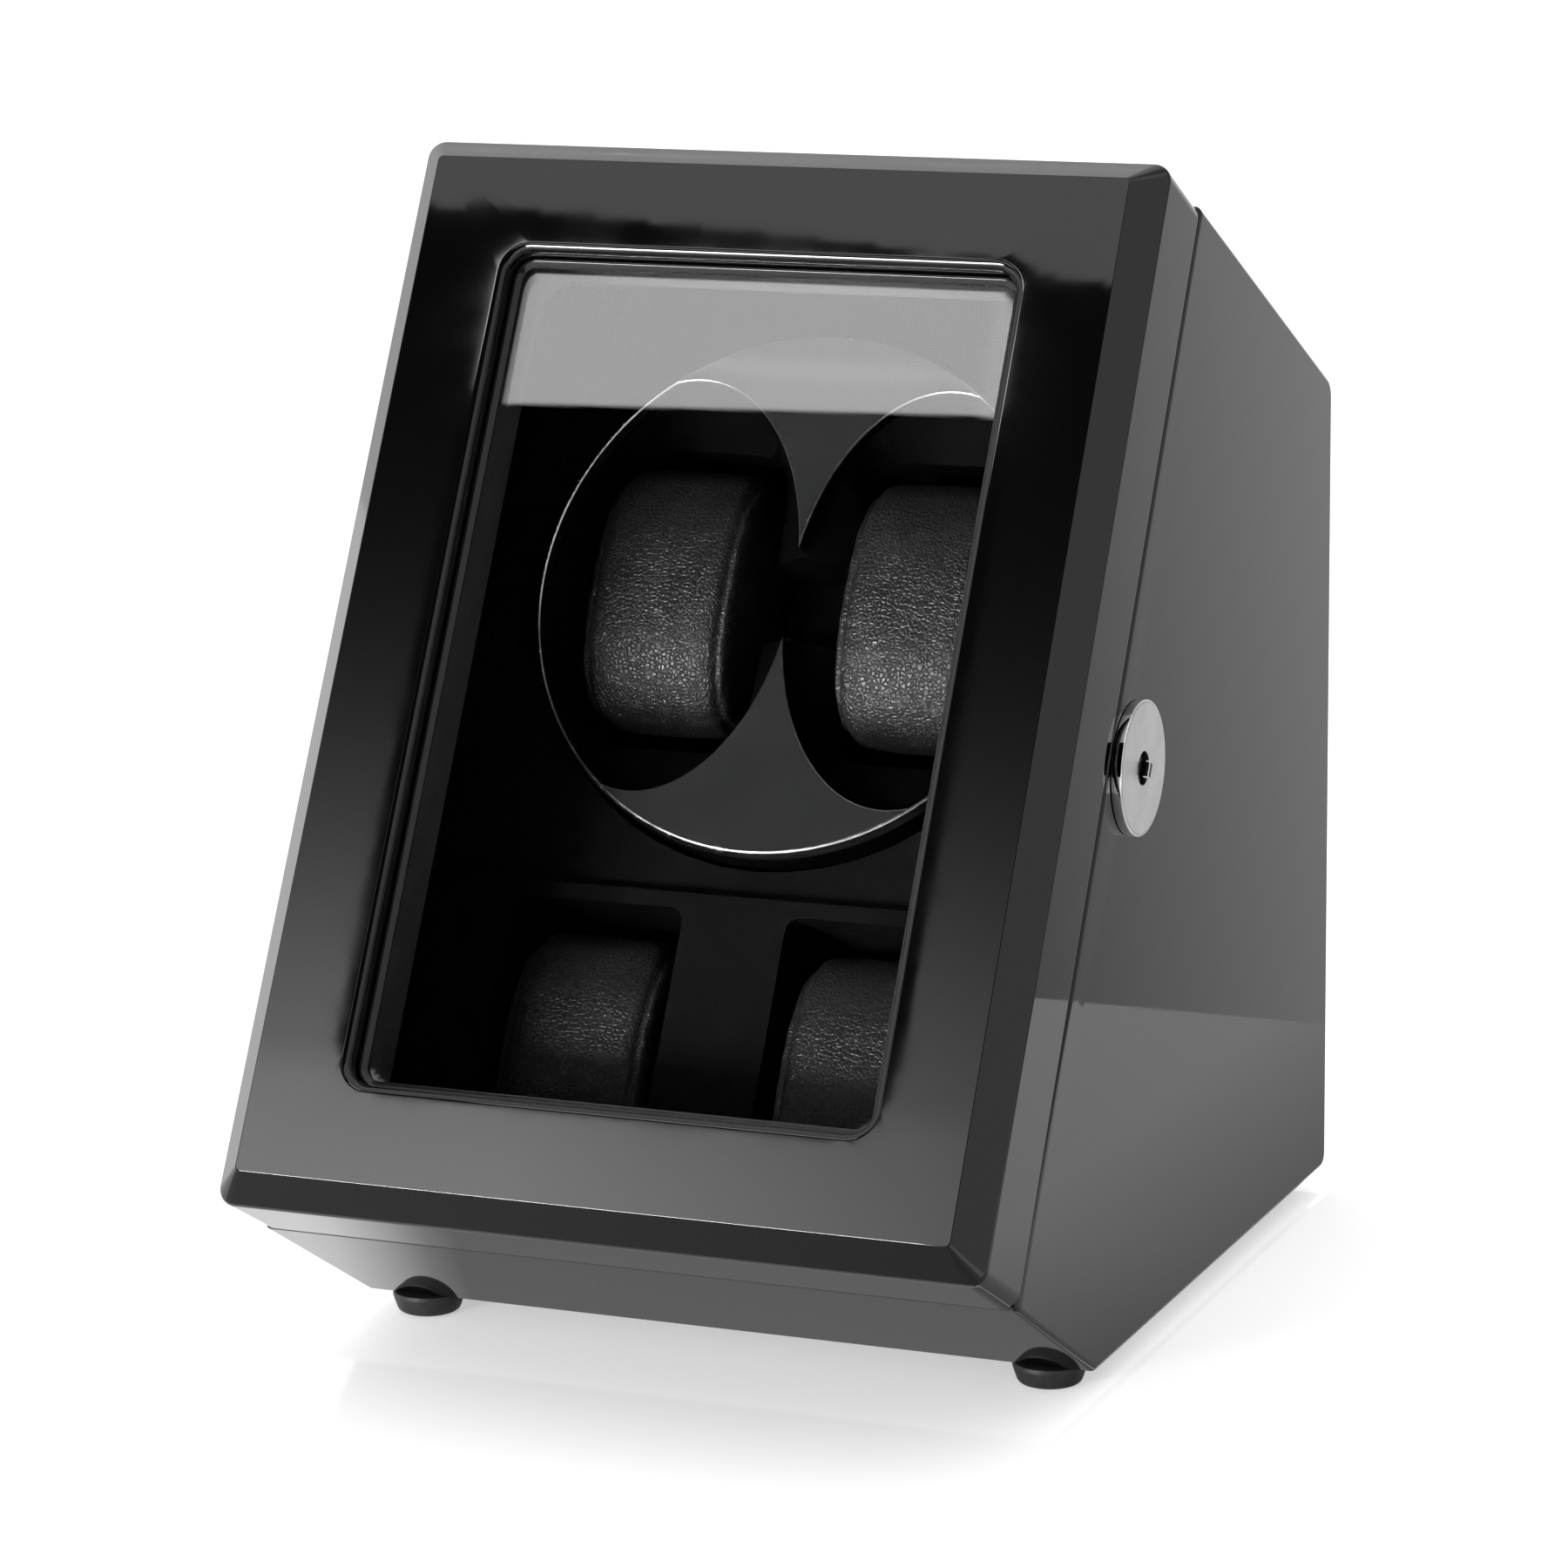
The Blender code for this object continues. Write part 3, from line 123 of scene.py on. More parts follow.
class Finish:
    """A Principled material with its nodes at hand."""

    def __init__(self, name, colour, roughness, metallic=0.0, **sockets):
        self.material = bpy.data.materials.new(name)
        self.material.use_nodes = True
        self.nodes = self.material.node_tree.nodes
        self.links = self.material.node_tree.links
        self.shader = self.nodes["Principled BSDF"]
        self.shader.inputs["Base Color"].default_value = (*colour, 1.0)
        self.shader.inputs["Roughness"].default_value = roughness
        self.shader.inputs["Metallic"].default_value = metallic
        for socket, value in sockets.items():
            self.shader.inputs[socket.replace("_", " ")].default_value = value
        self.place = self.nodes.new("ShaderNodeTexCoord").outputs["Object"]

    def noise(self, size, detail=3.0, stretch=None):
        """Noise with features of the given size, optionally drawn out along the axes."""
        node = self.nodes.new("ShaderNodeTexNoise")
        node.inputs["Scale"].default_value = 1 / size
        node.inputs["Detail"].default_value = detail
        place = self.place
        if stretch:
            mapping = self.nodes.new("ShaderNodeMapping")
            mapping.inputs["Scale"].default_value = stretch
            self.links.new(place, mapping.inputs["Vector"])
            place = mapping.outputs["Vector"]
        self.links.new(place, node.inputs["Vector"])
        return node.outputs["Fac"]

    def cells(self, size, feature="DISTANCE_TO_EDGE"):
        node = self.nodes.new("ShaderNodeTexVoronoi")
        node.feature = feature
        node.inputs["Scale"].default_value = 1 / size
        self.links.new(self.place, node.inputs["Vector"])
        return node.outputs["Distance"]

    def ramp(self, source, low, high, start=0.3, end=0.7):
        node = self.nodes.new("ShaderNodeMapRange")
        for socket, value in (("From Min", start), ("From Max", end), ("To Min", low), ("To Max", high)):
            node.inputs[socket].default_value = value
        self.links.new(source, node.inputs["Value"])
        return node.outputs["Result"]

    def rough(self, source, low, high):
        self.links.new(self.ramp(source, low, high), self.shader.inputs["Roughness"])
        return self

    def tint(self, source, dark, light):
        node = self.nodes.new("ShaderNodeValToRGB")
        node.color_ramp.elements[0].position, node.color_ramp.elements[1].position = 0.3, 0.7
        node.color_ramp.elements[0].color, node.color_ramp.elements[1].color = (*dark, 1), (*light, 1)
        self.links.new(source, node.inputs["Fac"])
        self.links.new(node.outputs["Color"], self.shader.inputs["Base Color"])
        return self

    def bump(self, source, height, strength=1.0):
        """A bump of the given height, on top of any that is there."""
        node = self.nodes.new("ShaderNodeBump")
        node.inputs["Strength"].default_value = strength
        node.inputs["Distance"].default_value = height
        self.links.new(source, node.inputs["Height"])
        normal = self.shader.inputs["Normal"]
        if normal.is_linked:
            self.links.new(normal.links[0].from_socket, node.inputs["Normal"])
        self.links.new(node.outputs["Normal"], normal)
        return self


def lacquer():
    finish = Finish("piano_lacquer", (0.0014, 0.0014, 0.0016), 0.035, IOR=1.52)
    finish.rough(finish.noise(0.02), 0.020, 0.045)
    return finish.bump(finish.noise(0.012, 1.0), 0.0000035).material


def leather(name, shade, grain, depth):
    finish = Finish(name, (shade, shade, shade), 0.42, IOR=1.5)
    finish.tint(finish.noise(0.012), (shade * 0.75,) * 3, (shade * 1.3,) * 3)
    finish.rough(finish.noise(0.005), 0.34, 0.47)
    wrinkles = finish.ramp(finish.cells(grain), 0.0, 1.0, 0.0, 0.22)
    finish.bump(wrinkles, depth, 0.7)
    return finish.bump(finish.noise(grain * 0.4, 2.0), depth * 0.35, 0.5).material


def lining():
    finish = Finish("lining_cloth", (0.0025, 0.0025, 0.0027), 0.75, IOR=1.15)
    finish.tint(finish.noise(0.006), (0.0016,) * 3, (0.0036,) * 3)
    finish.rough(finish.noise(0.003), 0.65, 0.85)
    return finish.bump(finish.noise(0.0004, 2.0), 0.00006).material


def disc_gloss():
    finish = Finish("turntable_gloss", (0.020, 0.020, 0.0208), 0.12, IOR=1.5)
    finish.rough(finish.noise(0.01), 0.09, 0.17)
    finish.tint(finish.noise(0.03), (0.018,) * 3, (0.023,) * 3)
    return finish.bump(finish.noise(0.0008), 0.000003).material


def moulded(name, shade, low, high, index=1.45):
    finish = Finish(name, (shade, shade, shade), low, IOR=index)
    finish.rough(finish.noise(0.004), low, high)
    finish.tint(finish.noise(0.01), (shade * 0.85,) * 3, (shade * 1.15,) * 3)
    return finish.bump(finish.noise(0.0005, 1.0), 0.000004).material


def rubber():
    finish = Finish("foot_rubber", (0.011, 0.011, 0.012), 0.55)
    finish.rough(finish.noise(0.002), 0.42, 0.62)
    finish.tint(finish.noise(0.004), (0.009,) * 3, (0.016,) * 3)
    return finish.bump(finish.noise(0.0004), 0.00003).material


def metal(name, colour, low, high, stretch=None, scratch=0.000002):
    finish = Finish(name, colour, low, 1.0)
    finish.rough(finish.noise(0.003, 3.0, stretch), low, high)
    finish.tint(finish.noise(0.008), [c * 0.92 for c in colour], [min(1, c * 1.05) for c in colour])
    return finish.bump(finish.noise(0.0006, 3.0, stretch), scratch).material


def glass():
    finish = Finish("window_glass", (0.97, 0.98, 0.98), 0.0, Transmission_Weight=1.0, IOR=1.5)
    return finish.bump(finish.noise(0.09, 1.0), 0.000004).material


def board():
    finish = Finish("fibreboard", (0.33, 0.24, 0.16), 0.8)
    finish.tint(finish.noise(0.0015, 5.0, (1, 1, 0.25)), (0.24, 0.17, 0.11), (0.42, 0.31, 0.21))
    return finish.bump(finish.noise(0.0008), 0.00008).material


def circuit():
    finish = Finish("circuit_green", (0.02, 0.16, 0.06), 0.35)
    finish.tint(finish.cells(0.003, "F1"), (0.012, 0.10, 0.04), (0.03, 0.21, 0.08))
    return finish.bump(finish.cells(0.0015), 0.00004).material


def nylon():
    finish = Finish("gear_nylon", (0.74, 0.73, 0.68), 0.45, Subsurface_Weight=0.1)
    finish.rough(finish.noise(0.003), 0.38, 0.55)
    finish.tint(finish.noise(0.006), (0.70, 0.69, 0.64), (0.79, 0.78, 0.73))
    return finish.bump(finish.noise(0.0005), 0.00001).material


LACQUER = lacquer()
LINING = lining()
PILLOW = leather("pillow_leather", 0.0085, GRAIN, 0.00019)
DRUM = moulded("drum_plastic", 0.0022, 0.42, 0.58, 1.05)
SATIN = moulded("satin_plastic", 0.012, 0.28, 0.42)
GASKET = moulded("window_gasket", 0.006, 0.10, 0.20)
# The lacquered door's inner wall behind the glass, painted far lighter than the lacquer: painted light.
REVEAL_PAINTED_LIGHT = moulded("window_reveal_painted_light", 0.060, 0.30, 0.40)
DARK_METAL = metal("lock_dark", (0.05, 0.05, 0.055), 0.18, 0.30)
MIRROR = metal("lock_mirror", (0.78, 0.78, 0.80), 0.04, 0.10)
SATIN_STEEL = metal("lock_satin", (0.93, 0.93, 0.94), 0.30, 0.42, (1, 14, 1))
STEEL = metal("plated_steel", (0.56, 0.56, 0.57), 0.22, 0.38, (1, 10, 1))
BRASS = metal("satin_brass", (0.80, 0.60, 0.31), 0.24, 0.36, (4, 1, 1), 0.0000006)
# Silver metal on the turntable's rim, well edges and notch edges: painted highlight lines.
EDGE_PAINTED_HIGHLIGHT = metal("turntable_edge_painted_highlight", (0.60, 0.60, 0.61), 0.16, 0.28)
DISC_GLOSS = disc_gloss()
RUBBER = rubber()


# --- Mesh helpers ---------------------------------------------------------------------------

def close(solid, rings):
    """Walls between rings of equally many points, with both ends capped."""
    walls(solid, rings)
    solid.faces.new(rings[0][::-1])
    solid.faces.new(rings[-1])


def walls(solid, rings):
    for lower, upper in zip(rings, rings[1:]):
        for i in range(len(lower)):
            j = (i + 1) % len(lower)
            solid.faces.new((lower[i], lower[j], upper[j], upper[i]))


def on_axis(axis, level, a, b):
    return Vector({"X": (level, a, b), "Y": (a, level, b), "Z": (a, b, level)}[axis])


def prism(outline, low, high, axis="Y"):
    solid = bmesh.new()
    close(solid, [[solid.verts.new(on_axis(axis, level, a, b)) for a, b in outline]
                  for level in (low, high)])
    return solid


def block(x, y, z):
    return prism([(x[0], z[0]), (x[1], z[0]), (x[1], z[1]), (x[0], z[1])], y[0], y[1])


def circle(radius, steps, centre=(0, 0), turn=0.0):
    return [(centre[0] + radius * math.cos(turn + math.tau * i / steps),
             centre[1] + radius * math.sin(turn + math.tau * i / steps)) for i in range(steps)]


def rounded(half_a, half_b, radius, centre=(0, 0), steps=8):
    """A rectangle with rounded corners, counter-clockwise."""
    points = []
    for side, (a, b) in enumerate(((1, -1), (1, 1), (-1, 1), (-1, -1))):
        for i in range(steps + 1):
            angle = math.radians(-90 + 90 * side + 90 * i / steps)
            points.append((centre[0] + a * (half_a - radius) + radius * math.cos(angle),
                           centre[1] + b * (half_b - radius) + radius * math.sin(angle)))
    return points


def eased(path, steps=5, closed=False):
    """A path of (a, b, radius) points with each corner turned into an arc."""
    out = []
    count = len(path)
    for i, (a, b, radius) in enumerate(path):
        here = Vector((a, b))
        if radius == 0 or (not closed and i in (0, count - 1)):
            out.append(here)
            continue
        before = (Vector(path[i - 1][:2]) - here).normalized()
        after = (Vector(path[(i + 1) % count][:2]) - here).normalized()
        half = before.angle(after) / 2
        back = radius / math.tan(half)
        middle = here + (before + after).normalized() * radius / math.sin(half)
        start, end = here + before * back - middle, here + after * back - middle
        turn = start.angle_signed(end)
        for k in range(steps + 1):
            spin = Matrix.Rotation(-turn * k / steps, 2)
            out.append(middle + spin @ start)
    return out


def turned(profile, axis="Y", steps=96, centre=(0, 0), closed=False):
    """A solid of revolution from (radius, level) points; it starts and ends on the axis."""
    solid = bmesh.new()
    rings = []
    for radius, level in profile:
        if radius < 1e-9:
            rings.append([solid.verts.new(on_axis(axis, level, *centre))])
        else:
            rings.append([solid.verts.new(on_axis(axis, level, a, b))
                          for a, b in circle(radius, steps, centre)])
    pairs = list(zip(rings, rings[1:])) + ([(rings[-1], rings[0])] if closed else [])
    for first, second in pairs:
        for i in range(steps):
            j = (i + 1) % steps
            if len(first) == 1:
                solid.faces.new((first[0], second[i], second[j]))
            elif len(second) == 1:
                solid.faces.new((first[i], first[j], second[0]))
            else:
                solid.faces.new((first[i], first[j], second[j], second[i]))
    return solid


def make(name, solid, materials, at=SLANT, crease=35):
    """Link a mesh as an object, moved from its own frame into the world."""
    bmesh.ops.recalc_face_normals(solid, faces=solid.faces)
    solid.transform(at)
    mesh = bpy.data.meshes.new(name)
    solid.to_mesh(mesh)
    solid.free()
    for material in materials:
        mesh.materials.append(material)
    mesh.shade_smooth()
    mesh.set_sharp_from_angle(angle=math.radians(crease))
    made = bpy.data.objects.new(name, mesh)
    bpy.context.collection.objects.link(made)
    return made


def settle(thing):
    """Put a piece's modifiers into its mesh."""
    bpy.context.view_layer.update()
    graph = bpy.context.evaluated_depsgraph_get()
    mesh = bpy.data.meshes.new_from_object(thing.evaluated_get(graph))
    thing.modifiers.clear()
    thing.data = mesh
    return thing


def carve(thing, cutters, at=SLANT, material=None):
    """Cut closed meshes out of a piece; material is the index that the cut faces take."""
    for solid in cutters:
        cutter = make("cutter", solid, [slot for slot in thing.data.materials], at)
        for face in cutter.data.polygons:
            face.material_index = material or 0
        step = thing.modifiers.new("cut", "BOOLEAN")
        step.operation, step.object, step.solver = "DIFFERENCE", cutter, "EXACT"
        settle(thing)
        bpy.data.objects.remove(cutter)
    return thing


def soften(thing, width, segments=3, angle=32, material=-1):
    """Round a piece's edges and keep its flat faces flat."""
    step = thing.modifiers.new("edge", "BEVEL")
    step.width, step.segments, step.limit_method = width, segments, "ANGLE"
    step.angle_limit = math.radians(angle)
    step.use_clamp_overlap = True
    step.material = material
    return flatten(thing)


def flatten(thing):
    step = thing.modifiers.new("normals", "WEIGHTED_NORMAL")
    step.keep_sharp = True
    return thing


def finish_piece(thing, body, slot, *nodes):
    """Tie a piece to its body, standing for the CAD nodes named. The slot argument is not used."""
    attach(thing, body)
    if nodes:
        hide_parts(*nodes)
    return thing


# --- Case -----------------------------------------------------------------------------------

def level_point(height, depth):
    """(y, z) of a point of the slanted frame."""
    point = SLANT @ Vector((0, depth, height))
    return Vector((point.y, point.z))


def meet(first, second):
    """Where two (point, direction) lines cross."""
    (p, d), (q, e) = first, second
    gap = q - p
    scale = (gap.x * e.y - gap.y * e.x) / (d.x * e.y - d.y * e.x)
    return p + d * scale


def inward(line, distance):
    point, direction = line
    return point + Vector((direction.y, -direction.x)) * distance, direction


FRONT_LINE = (level_point(0, CASE_FRONT), Vector((RISE.y, RISE.z)))
CASE_LINES = [
    FRONT_LINE,
    (level_point(TALL - CASE_INSET + TOP_LIFT, 0), Vector((math.cos(TOP_SLOPE), -math.sin(TOP_SLOPE)))),
    (Vector((BACK, 0)), Vector((0, -1))),
    (Vector((0, BASE)), Vector((-1, 0))),
    (level_point(CASE_INSET, 0), Vector((-math.cos(NOSE_SLOPE), math.sin(NOSE_SLOPE)))),
]
CASE_ROUNDS = [0.0016, BACK_ROUND, BASE_ROUND, BASE_ROUND, 0.0016]   # where each line ends
FRONT_SHARE = 1.8                    # the front edges are this much rounder than the others


def case_outline(inset, rounds=CASE_ROUNDS, front=None):
    """The case's side view, each line moved in and each corner rounded."""
    front = inset * FRONT_SHARE if front is None else front
    lines = [inward(line, front if i == 0 else inset) for i, line in enumerate(CASE_LINES)]
    path = []
    for i, line in enumerate(lines):
        corner = meet(line, lines[(i + 1) % len(lines)])
        path.append((*corner, max(rounds[i] - inset * (rounds[i] > inset), 0.0003)))
    return [tuple(point) for point in eased(path, 6, closed=True)]


def case_shell():
    """One seamless lacquered shell with rounded edges, lined inside."""
    solid = bmesh.new()
    rings = []
    steps = 6
    for side in (-1, 1):
        stack = []
        for k in range(steps + 1):
            angle = math.radians(90 * k / steps)
            x = side * (CASE_HALF + SIDE_GROW - SIDE_ROUND + SIDE_ROUND * math.cos(angle))
            stack.append((x, SIDE_ROUND * (1 - math.sin(angle))))
        rings += stack if side < 0 else stack[::-1]
    close(solid, [[solid.verts.new((x, y, z)) for y, z in case_outline(inset)] for x, inset in rings])
    shell = make("case_shell", solid, [LACQUER, LINING], LEVEL)
    hollow = case_outline(WALL, [0.0012] * 5, front=-0.006)
    carve(shell, [prism(hollow, -INNER_HALF, INNER_HALF, "X")], LEVEL, material=1)
    panel_low, panel_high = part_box("control_panel")
    middle = ((panel_low.x + panel_high.x) / 2, (panel_low.z + panel_high.z) / 2)
    half = ((panel_high.x - panel_low.x) / 2, (panel_high.z - panel_low.z) / 2)
    recess_corner, ledge = 0.0033, 0.004
    recess = prism(rounded(half[0] + GAP, half[1] + GAP, recess_corner, middle),
                   panel_low.y - GAP, BACK + 2 * PASS)
    window = prism(rounded(half[0] - ledge, half[1] - ledge, 0.001, middle), BACK - 0.012, BACK)
    carve(shell, [recess, window], LEVEL)
    cutters = [turned([(0, INNER_HALF - PASS), (LOCK_HOLE, INNER_HALF - PASS),
                       (LOCK_HOLE, CASE_HALF + PASS), (0, CASE_HALF + PASS)], "X", 48,
                      (LOCK.y, LOCK.z))]
    for end in ("lower", "upper"):
        low, high = span(f"hinge_{end}_case_leaf")
        cutters.append(block((-CASE_HALF - PASS, high.x + LEAF_GAP),
                             (CASE_FRONT - PASS, CASE_FRONT + LEAF_RECESS),
                             (low.z - GAP, high.z + GAP)))
    low, high = span("case_keeper")
    centre = ((low.x + high.x) / 2, (low.z + high.z) / 2)
    cutters.append(turned([(0, CASE_FRONT - PASS), (MAGNET_HOLE, CASE_FRONT - PASS),
                           (MAGNET_HOLE, high.y + GAP), (0, high.y + GAP)], "Y", 32, centre))
    carve(shell, cutters)
    flatten(shell)
    finish_piece(shell, "case", "lacquer", "case_side_left", "case_side_right", "case_top",
                 "case_back", "case_base", "case_lower_front")


def feet():
    """Rubber feet: a rim under the case, a rounded skirt and a hollow underside."""
    for row in ("front", "rear"):
        for side in ("left", "right"):
            node = f"foot_{row}_{side}"
            low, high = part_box(node)
            radius, top, bottom = (high.x - low.x) / 2, high.z, low.z
            hollow, ring = 0.0045, bottom + 0.0025
            profile = eased([(0, top, 0), (radius, top, 0.0004), (radius, top - 0.0014, 0.0006),
                             (radius - 0.0016, bottom, 0.0020), (hollow, bottom, 0.0006),
                             (hollow, ring, 0.0005), (0.0018, ring, 0.0002),
                             (0.0012, bottom + 0.0018, 0.0002), (0, bottom + 0.0018, 0)])
            centre = ((low.x + high.x) / 2, (low.y + high.y) / 2)
            foot = make(f"rubber_{row}_{side}", turned(profile, "Z", 64, centre), [RUBBER], LEVEL)
            finish_piece(foot, "case", "rubber", node)


# --- Door -----------------------------------------------------------------------------------

def door_corner(inset):
    """Corner radius of the door's outline at a distance in from its edge."""
    if inset < (CHAMFER_FACE + LIP) / 2:
        return OUTER_CORNER - (OUTER_CORNER - FACE_CORNER) * min(inset / CHAMFER_FACE, 1)
    return LIP_CORNER + LIP - inset


def door_ring(solid, inset, depth, radius):
    outline = rounded(HALF - inset, TALL / 2 - inset, radius, (0, TALL / 2))
    return [solid.verts.new((a, depth, b)) for a, b in outline]


def door_shell():
    """One seamless lacquered frame: chamfered outside, with a soft lip at the window."""
    section = eased([(0, DEEP, 0.0010), (0, CHAMFER_DEPTH, 0.0022), (CHAMFER_FACE, 0, 0.0004),
                     (LIP, 0, LIP_ROUND), (LIP, GLASS_SEAT, 0.0002), (INNER_WALL, GLASS_SEAT, 0.0002),
                     (INNER_WALL, DEEP, 0.0008)], 6, closed=True)
    solid = bmesh.new()
    rings = [door_ring(solid, inset, depth, door_corner(max(inset, 0))) for inset, depth in section]
    walls(solid, rings + rings[:1])
    shell = make("door_shell", solid, [LACQUER, REVEAL_PAINTED_LIGHT])
    # Faces behind the glass take the lighter reveal material, painted light on the lacquer's inner wall.
    for face in shell.data.polygons:
        place = UNSLANT @ face.center
        behind_glass = GLASS_SEAT < place.y < DEEP - 0.001
        inside = abs(place.x) < HALF - INNER_WALL + 0.001 and (
            abs(place.z - TALL / 2) < TALL / 2 - INNER_WALL + 0.001)
        face.material_index = int(behind_glass and inside)
    cutters = []
    for end in ("lower", "upper"):
        low, high = span(f"hinge_{end}_door_leaf")
        cutters.append(block((-HALF - PASS, high.x + LEAF_GAP), (DEEP - LEAF_RECESS, DEEP + PASS),
                             (low.z - GAP, high.z + GAP)))
    low, high = span("strike_plate")
    cutters.append(block((low.x - LEAF_GAP, high.x + LEAF_GAP), (DEEP - STRIKE_RECESS, DEEP + 2 * PASS),
                         (low.z - LEAF_GAP, high.z + LEAF_GAP)))
    cutters.append(block(MORTISE_X, (MORTISE_FRONT, DEEP + PASS),
                         (LOCK.z - MORTISE_BELOW, LOCK.z + MORTISE_ABOVE)))
    low, high = span("door_magnet")
    centre = ((low.x + high.x) / 2, (low.z + high.z) / 2)
    cutters.append(turned([(0, low.y - GAP), (MAGNET_HOLE, low.y - GAP), (MAGNET_HOLE, DEEP + PASS),
                           (0, DEEP + PASS)], "Y", 32, centre))
    carve(shell, cutters)
    flatten(shell)
    finish_piece(shell, "door", "lacquer", "door_rail_top", "door_rail_bottom",
                 "door_stile_hinge", "door_stile_lock")


def window_parts():
    """Stepped gasket round the glass, and the glass itself."""
    top, foot, width = 0.0058, 0.0070, 0.0024
    section = eased([(LIP + GAP, GLASS_SEAT, 0), (LIP + GAP, top, 0.0003),
                     (LIP + 0.0010, top, 0.0005), (LIP + width, foot, 0.0004),
                     (LIP + width, GLASS_SEAT, 0)], 4)
    solid = bmesh.new()
    rings = [door_ring(solid, inset, depth, LIP_CORNER + LIP - inset) for inset, depth in section]
    walls(solid, rings + rings[:1])
    bead = make("window_gasket", solid, [GASKET])
    finish_piece(bead, "door", "black_plastic", "window_bead")
    pane = frame["nodes"]["window_glass"]
    pane.data.materials.clear()
    pane.data.materials.append(glass())
    pane.visible_shadow = False      # the room's light reaches what stands behind the pane


# --- Turntable ------------------------------------------------------------------------------

def oval(aim, half, power):
    a, b = abs(aim[0]) / half[0], abs(aim[1]) / half[1]
    return (a ** power + b ** power) ** (-1 / power)


def well(sign, steps=120, grow=0.0):
    """A well's mouth and the pocket under it, as outlines round the turntable's centre."""
    offset, limit = sign * WELL_OFFSET, DISC_RADIUS - WELL_RIM
    mouth, pocket = [], []
    for aim in circle(1.0, steps, turn=math.pi / steps):
        along = offset * aim[0]
        rim = -along + math.sqrt(along ** 2 - offset ** 2 + limit ** 2)
        out = min(oval(aim, WELL_HALF, 2), rim) + grow
        mouth.append((DISC.x + offset + out * aim[0], DISC.z + out * aim[1]))
        out = oval(aim, POCKET_HALF, POCKET_POWER)
        pocket.append((DISC.x + offset + out * aim[0], DISC.z + out * aim[1]))
    return mouth, pocket


def turntable():
    """The glossy plate and the drum moulded with two wells and the gap between them."""
    front = span("turntable_plate")[0].y
    back = span("turntable_plate")[1].y
    centre = (DISC.x, DISC.z)
    profile = eased([(0, front, 0), (DISC_RADIUS, front, RIM_EDGE), (DISC_RADIUS, back, 0),
                     (0, back, 0)])
    plate = make("turntable_face", turned(profile, "Y", 180, centre), [DISC_GLOSS, EDGE_PAINTED_HIGHLIGHT])
    for sign in (-1, 1):
        solid = bmesh.new()
        close(solid, [[solid.verts.new((a, depth, b)) for a, b in well(sign, grow=grow)[0]]
                      for grow, depth in ((WELL_EDGE + PASS, front - PASS), (0, front + WELL_EDGE),
                                          (0, back + PASS))])
        carve(plate, [solid])
    for face in plate.data.polygons:
        # The sloped faces of the rim and the well mouths take the silver edge metal, a painted
        # highlight.
        face.material_index = int(0.2 < abs(face.normal.dot(OUTWARD)) < 0.99)
    flatten(plate)
    finish_piece(plate, "turntable", "gloss_grey", "turntable_plate")

    low, high = span("turntable_drum")
    profile = [(0, low.y), (DISC_RADIUS, low.y), (DISC_RADIUS, high.y), (0, high.y)]
    drum = make("turntable_wells", turned(profile, "Y", 180, centre), [DRUM, EDGE_PAINTED_HIGHLIGHT])
    cutters = []
    for sign in (-1, 1):
        mouth, pocket = well(sign)
        solid = bmesh.new()
        close(solid, [[solid.verts.new((a, depth, b)) for a, b in outline] for outline, depth in
                      ((mouth, low.y - PASS), (mouth, low.y + WELL_STRAIGHT),
                       (pocket, low.y + POCKET_TOP), (pocket, low.y + POCKET_DEPTH))])
        cutters.append(solid)
    cutters.append(prism(rounded(NOTCH[0], NOTCH[1], NOTCH_CORNER, centre),
                         low.y - PASS, low.y + NOTCH_DEPTH))
    carve(drum, cutters)
    ease_notch(drum, low.y)
    finish_piece(flatten(drum), "turntable", "black_plastic", "turntable_drum")


def ease_notch(drum, front):
    """Bevel the notch's upper and lower front edges, in the silver edge metal as a painted highlight.
    The cut's sliver edges clamp it to microns.
    """
    face_slack, slope_depth = 0.0003, 0.012
    solid = bmesh.new()
    solid.from_mesh(drum.data)

    def is_wall(face):
        place = UNSLANT @ face.calc_center_median()
        return abs(face.normal.dot(RISE)) > 0.95 and (
            abs(abs(place.z - DISC.z) - NOTCH[1]) < face_slack and abs(place.x) < NOTCH[0])

    edges = [edge for edge in solid.edges if len(edge.link_faces) == 2
             and sum(is_wall(face) for face in edge.link_faces) == 1
             and edge.calc_face_angle(0) > math.radians(25)
             and (UNSLANT @ edge.verts[0].co).y < front + slope_depth]
    # The bevel faces take the silver edge metal on the black drum, a painted highlight.
    bmesh.ops.bevel(solid, geom=edges, offset=NOTCH_EDGE, offset_type="OFFSET", segments=3,
                    affect="EDGES", material=1, clamp_overlap=True)
    solid.to_mesh(drum.data)
    solid.free()


# --- Pillows --------------------------------------------------------------------------------

BAND_HALF = 0.0194                   # half the width of the pillow's broad band
SEAM_WIDTH, SEAM_DEPTH = 0.0008, 0.0017
HEM_DISTANCE, HEM_DEPTH = 0.0020, 0.00016
SIMULATION_FRAMES = 20
VOXEL = 0.0045
PUFF_LIMIT = 0.0016
PRESSURE = 4.0
SNUG = 0.96                          # the cloth starts this much smaller than the pillow
FOLLOW = 0.8                         # share of the way that the cover follows the cloth
DOME = 0.25                          # share of the half width in which the flank closes
FLANK_DROP = 0.28                    # share of the height that the flank loses
SQUARENESS = 2.4                     # power of the soft oval; 2 is an ellipse
DOME_STEPS, BAND_STEPS, TURNS = 9, 84, 128
PLEATS, PLEAT_DEPTH = 17, 0.00022


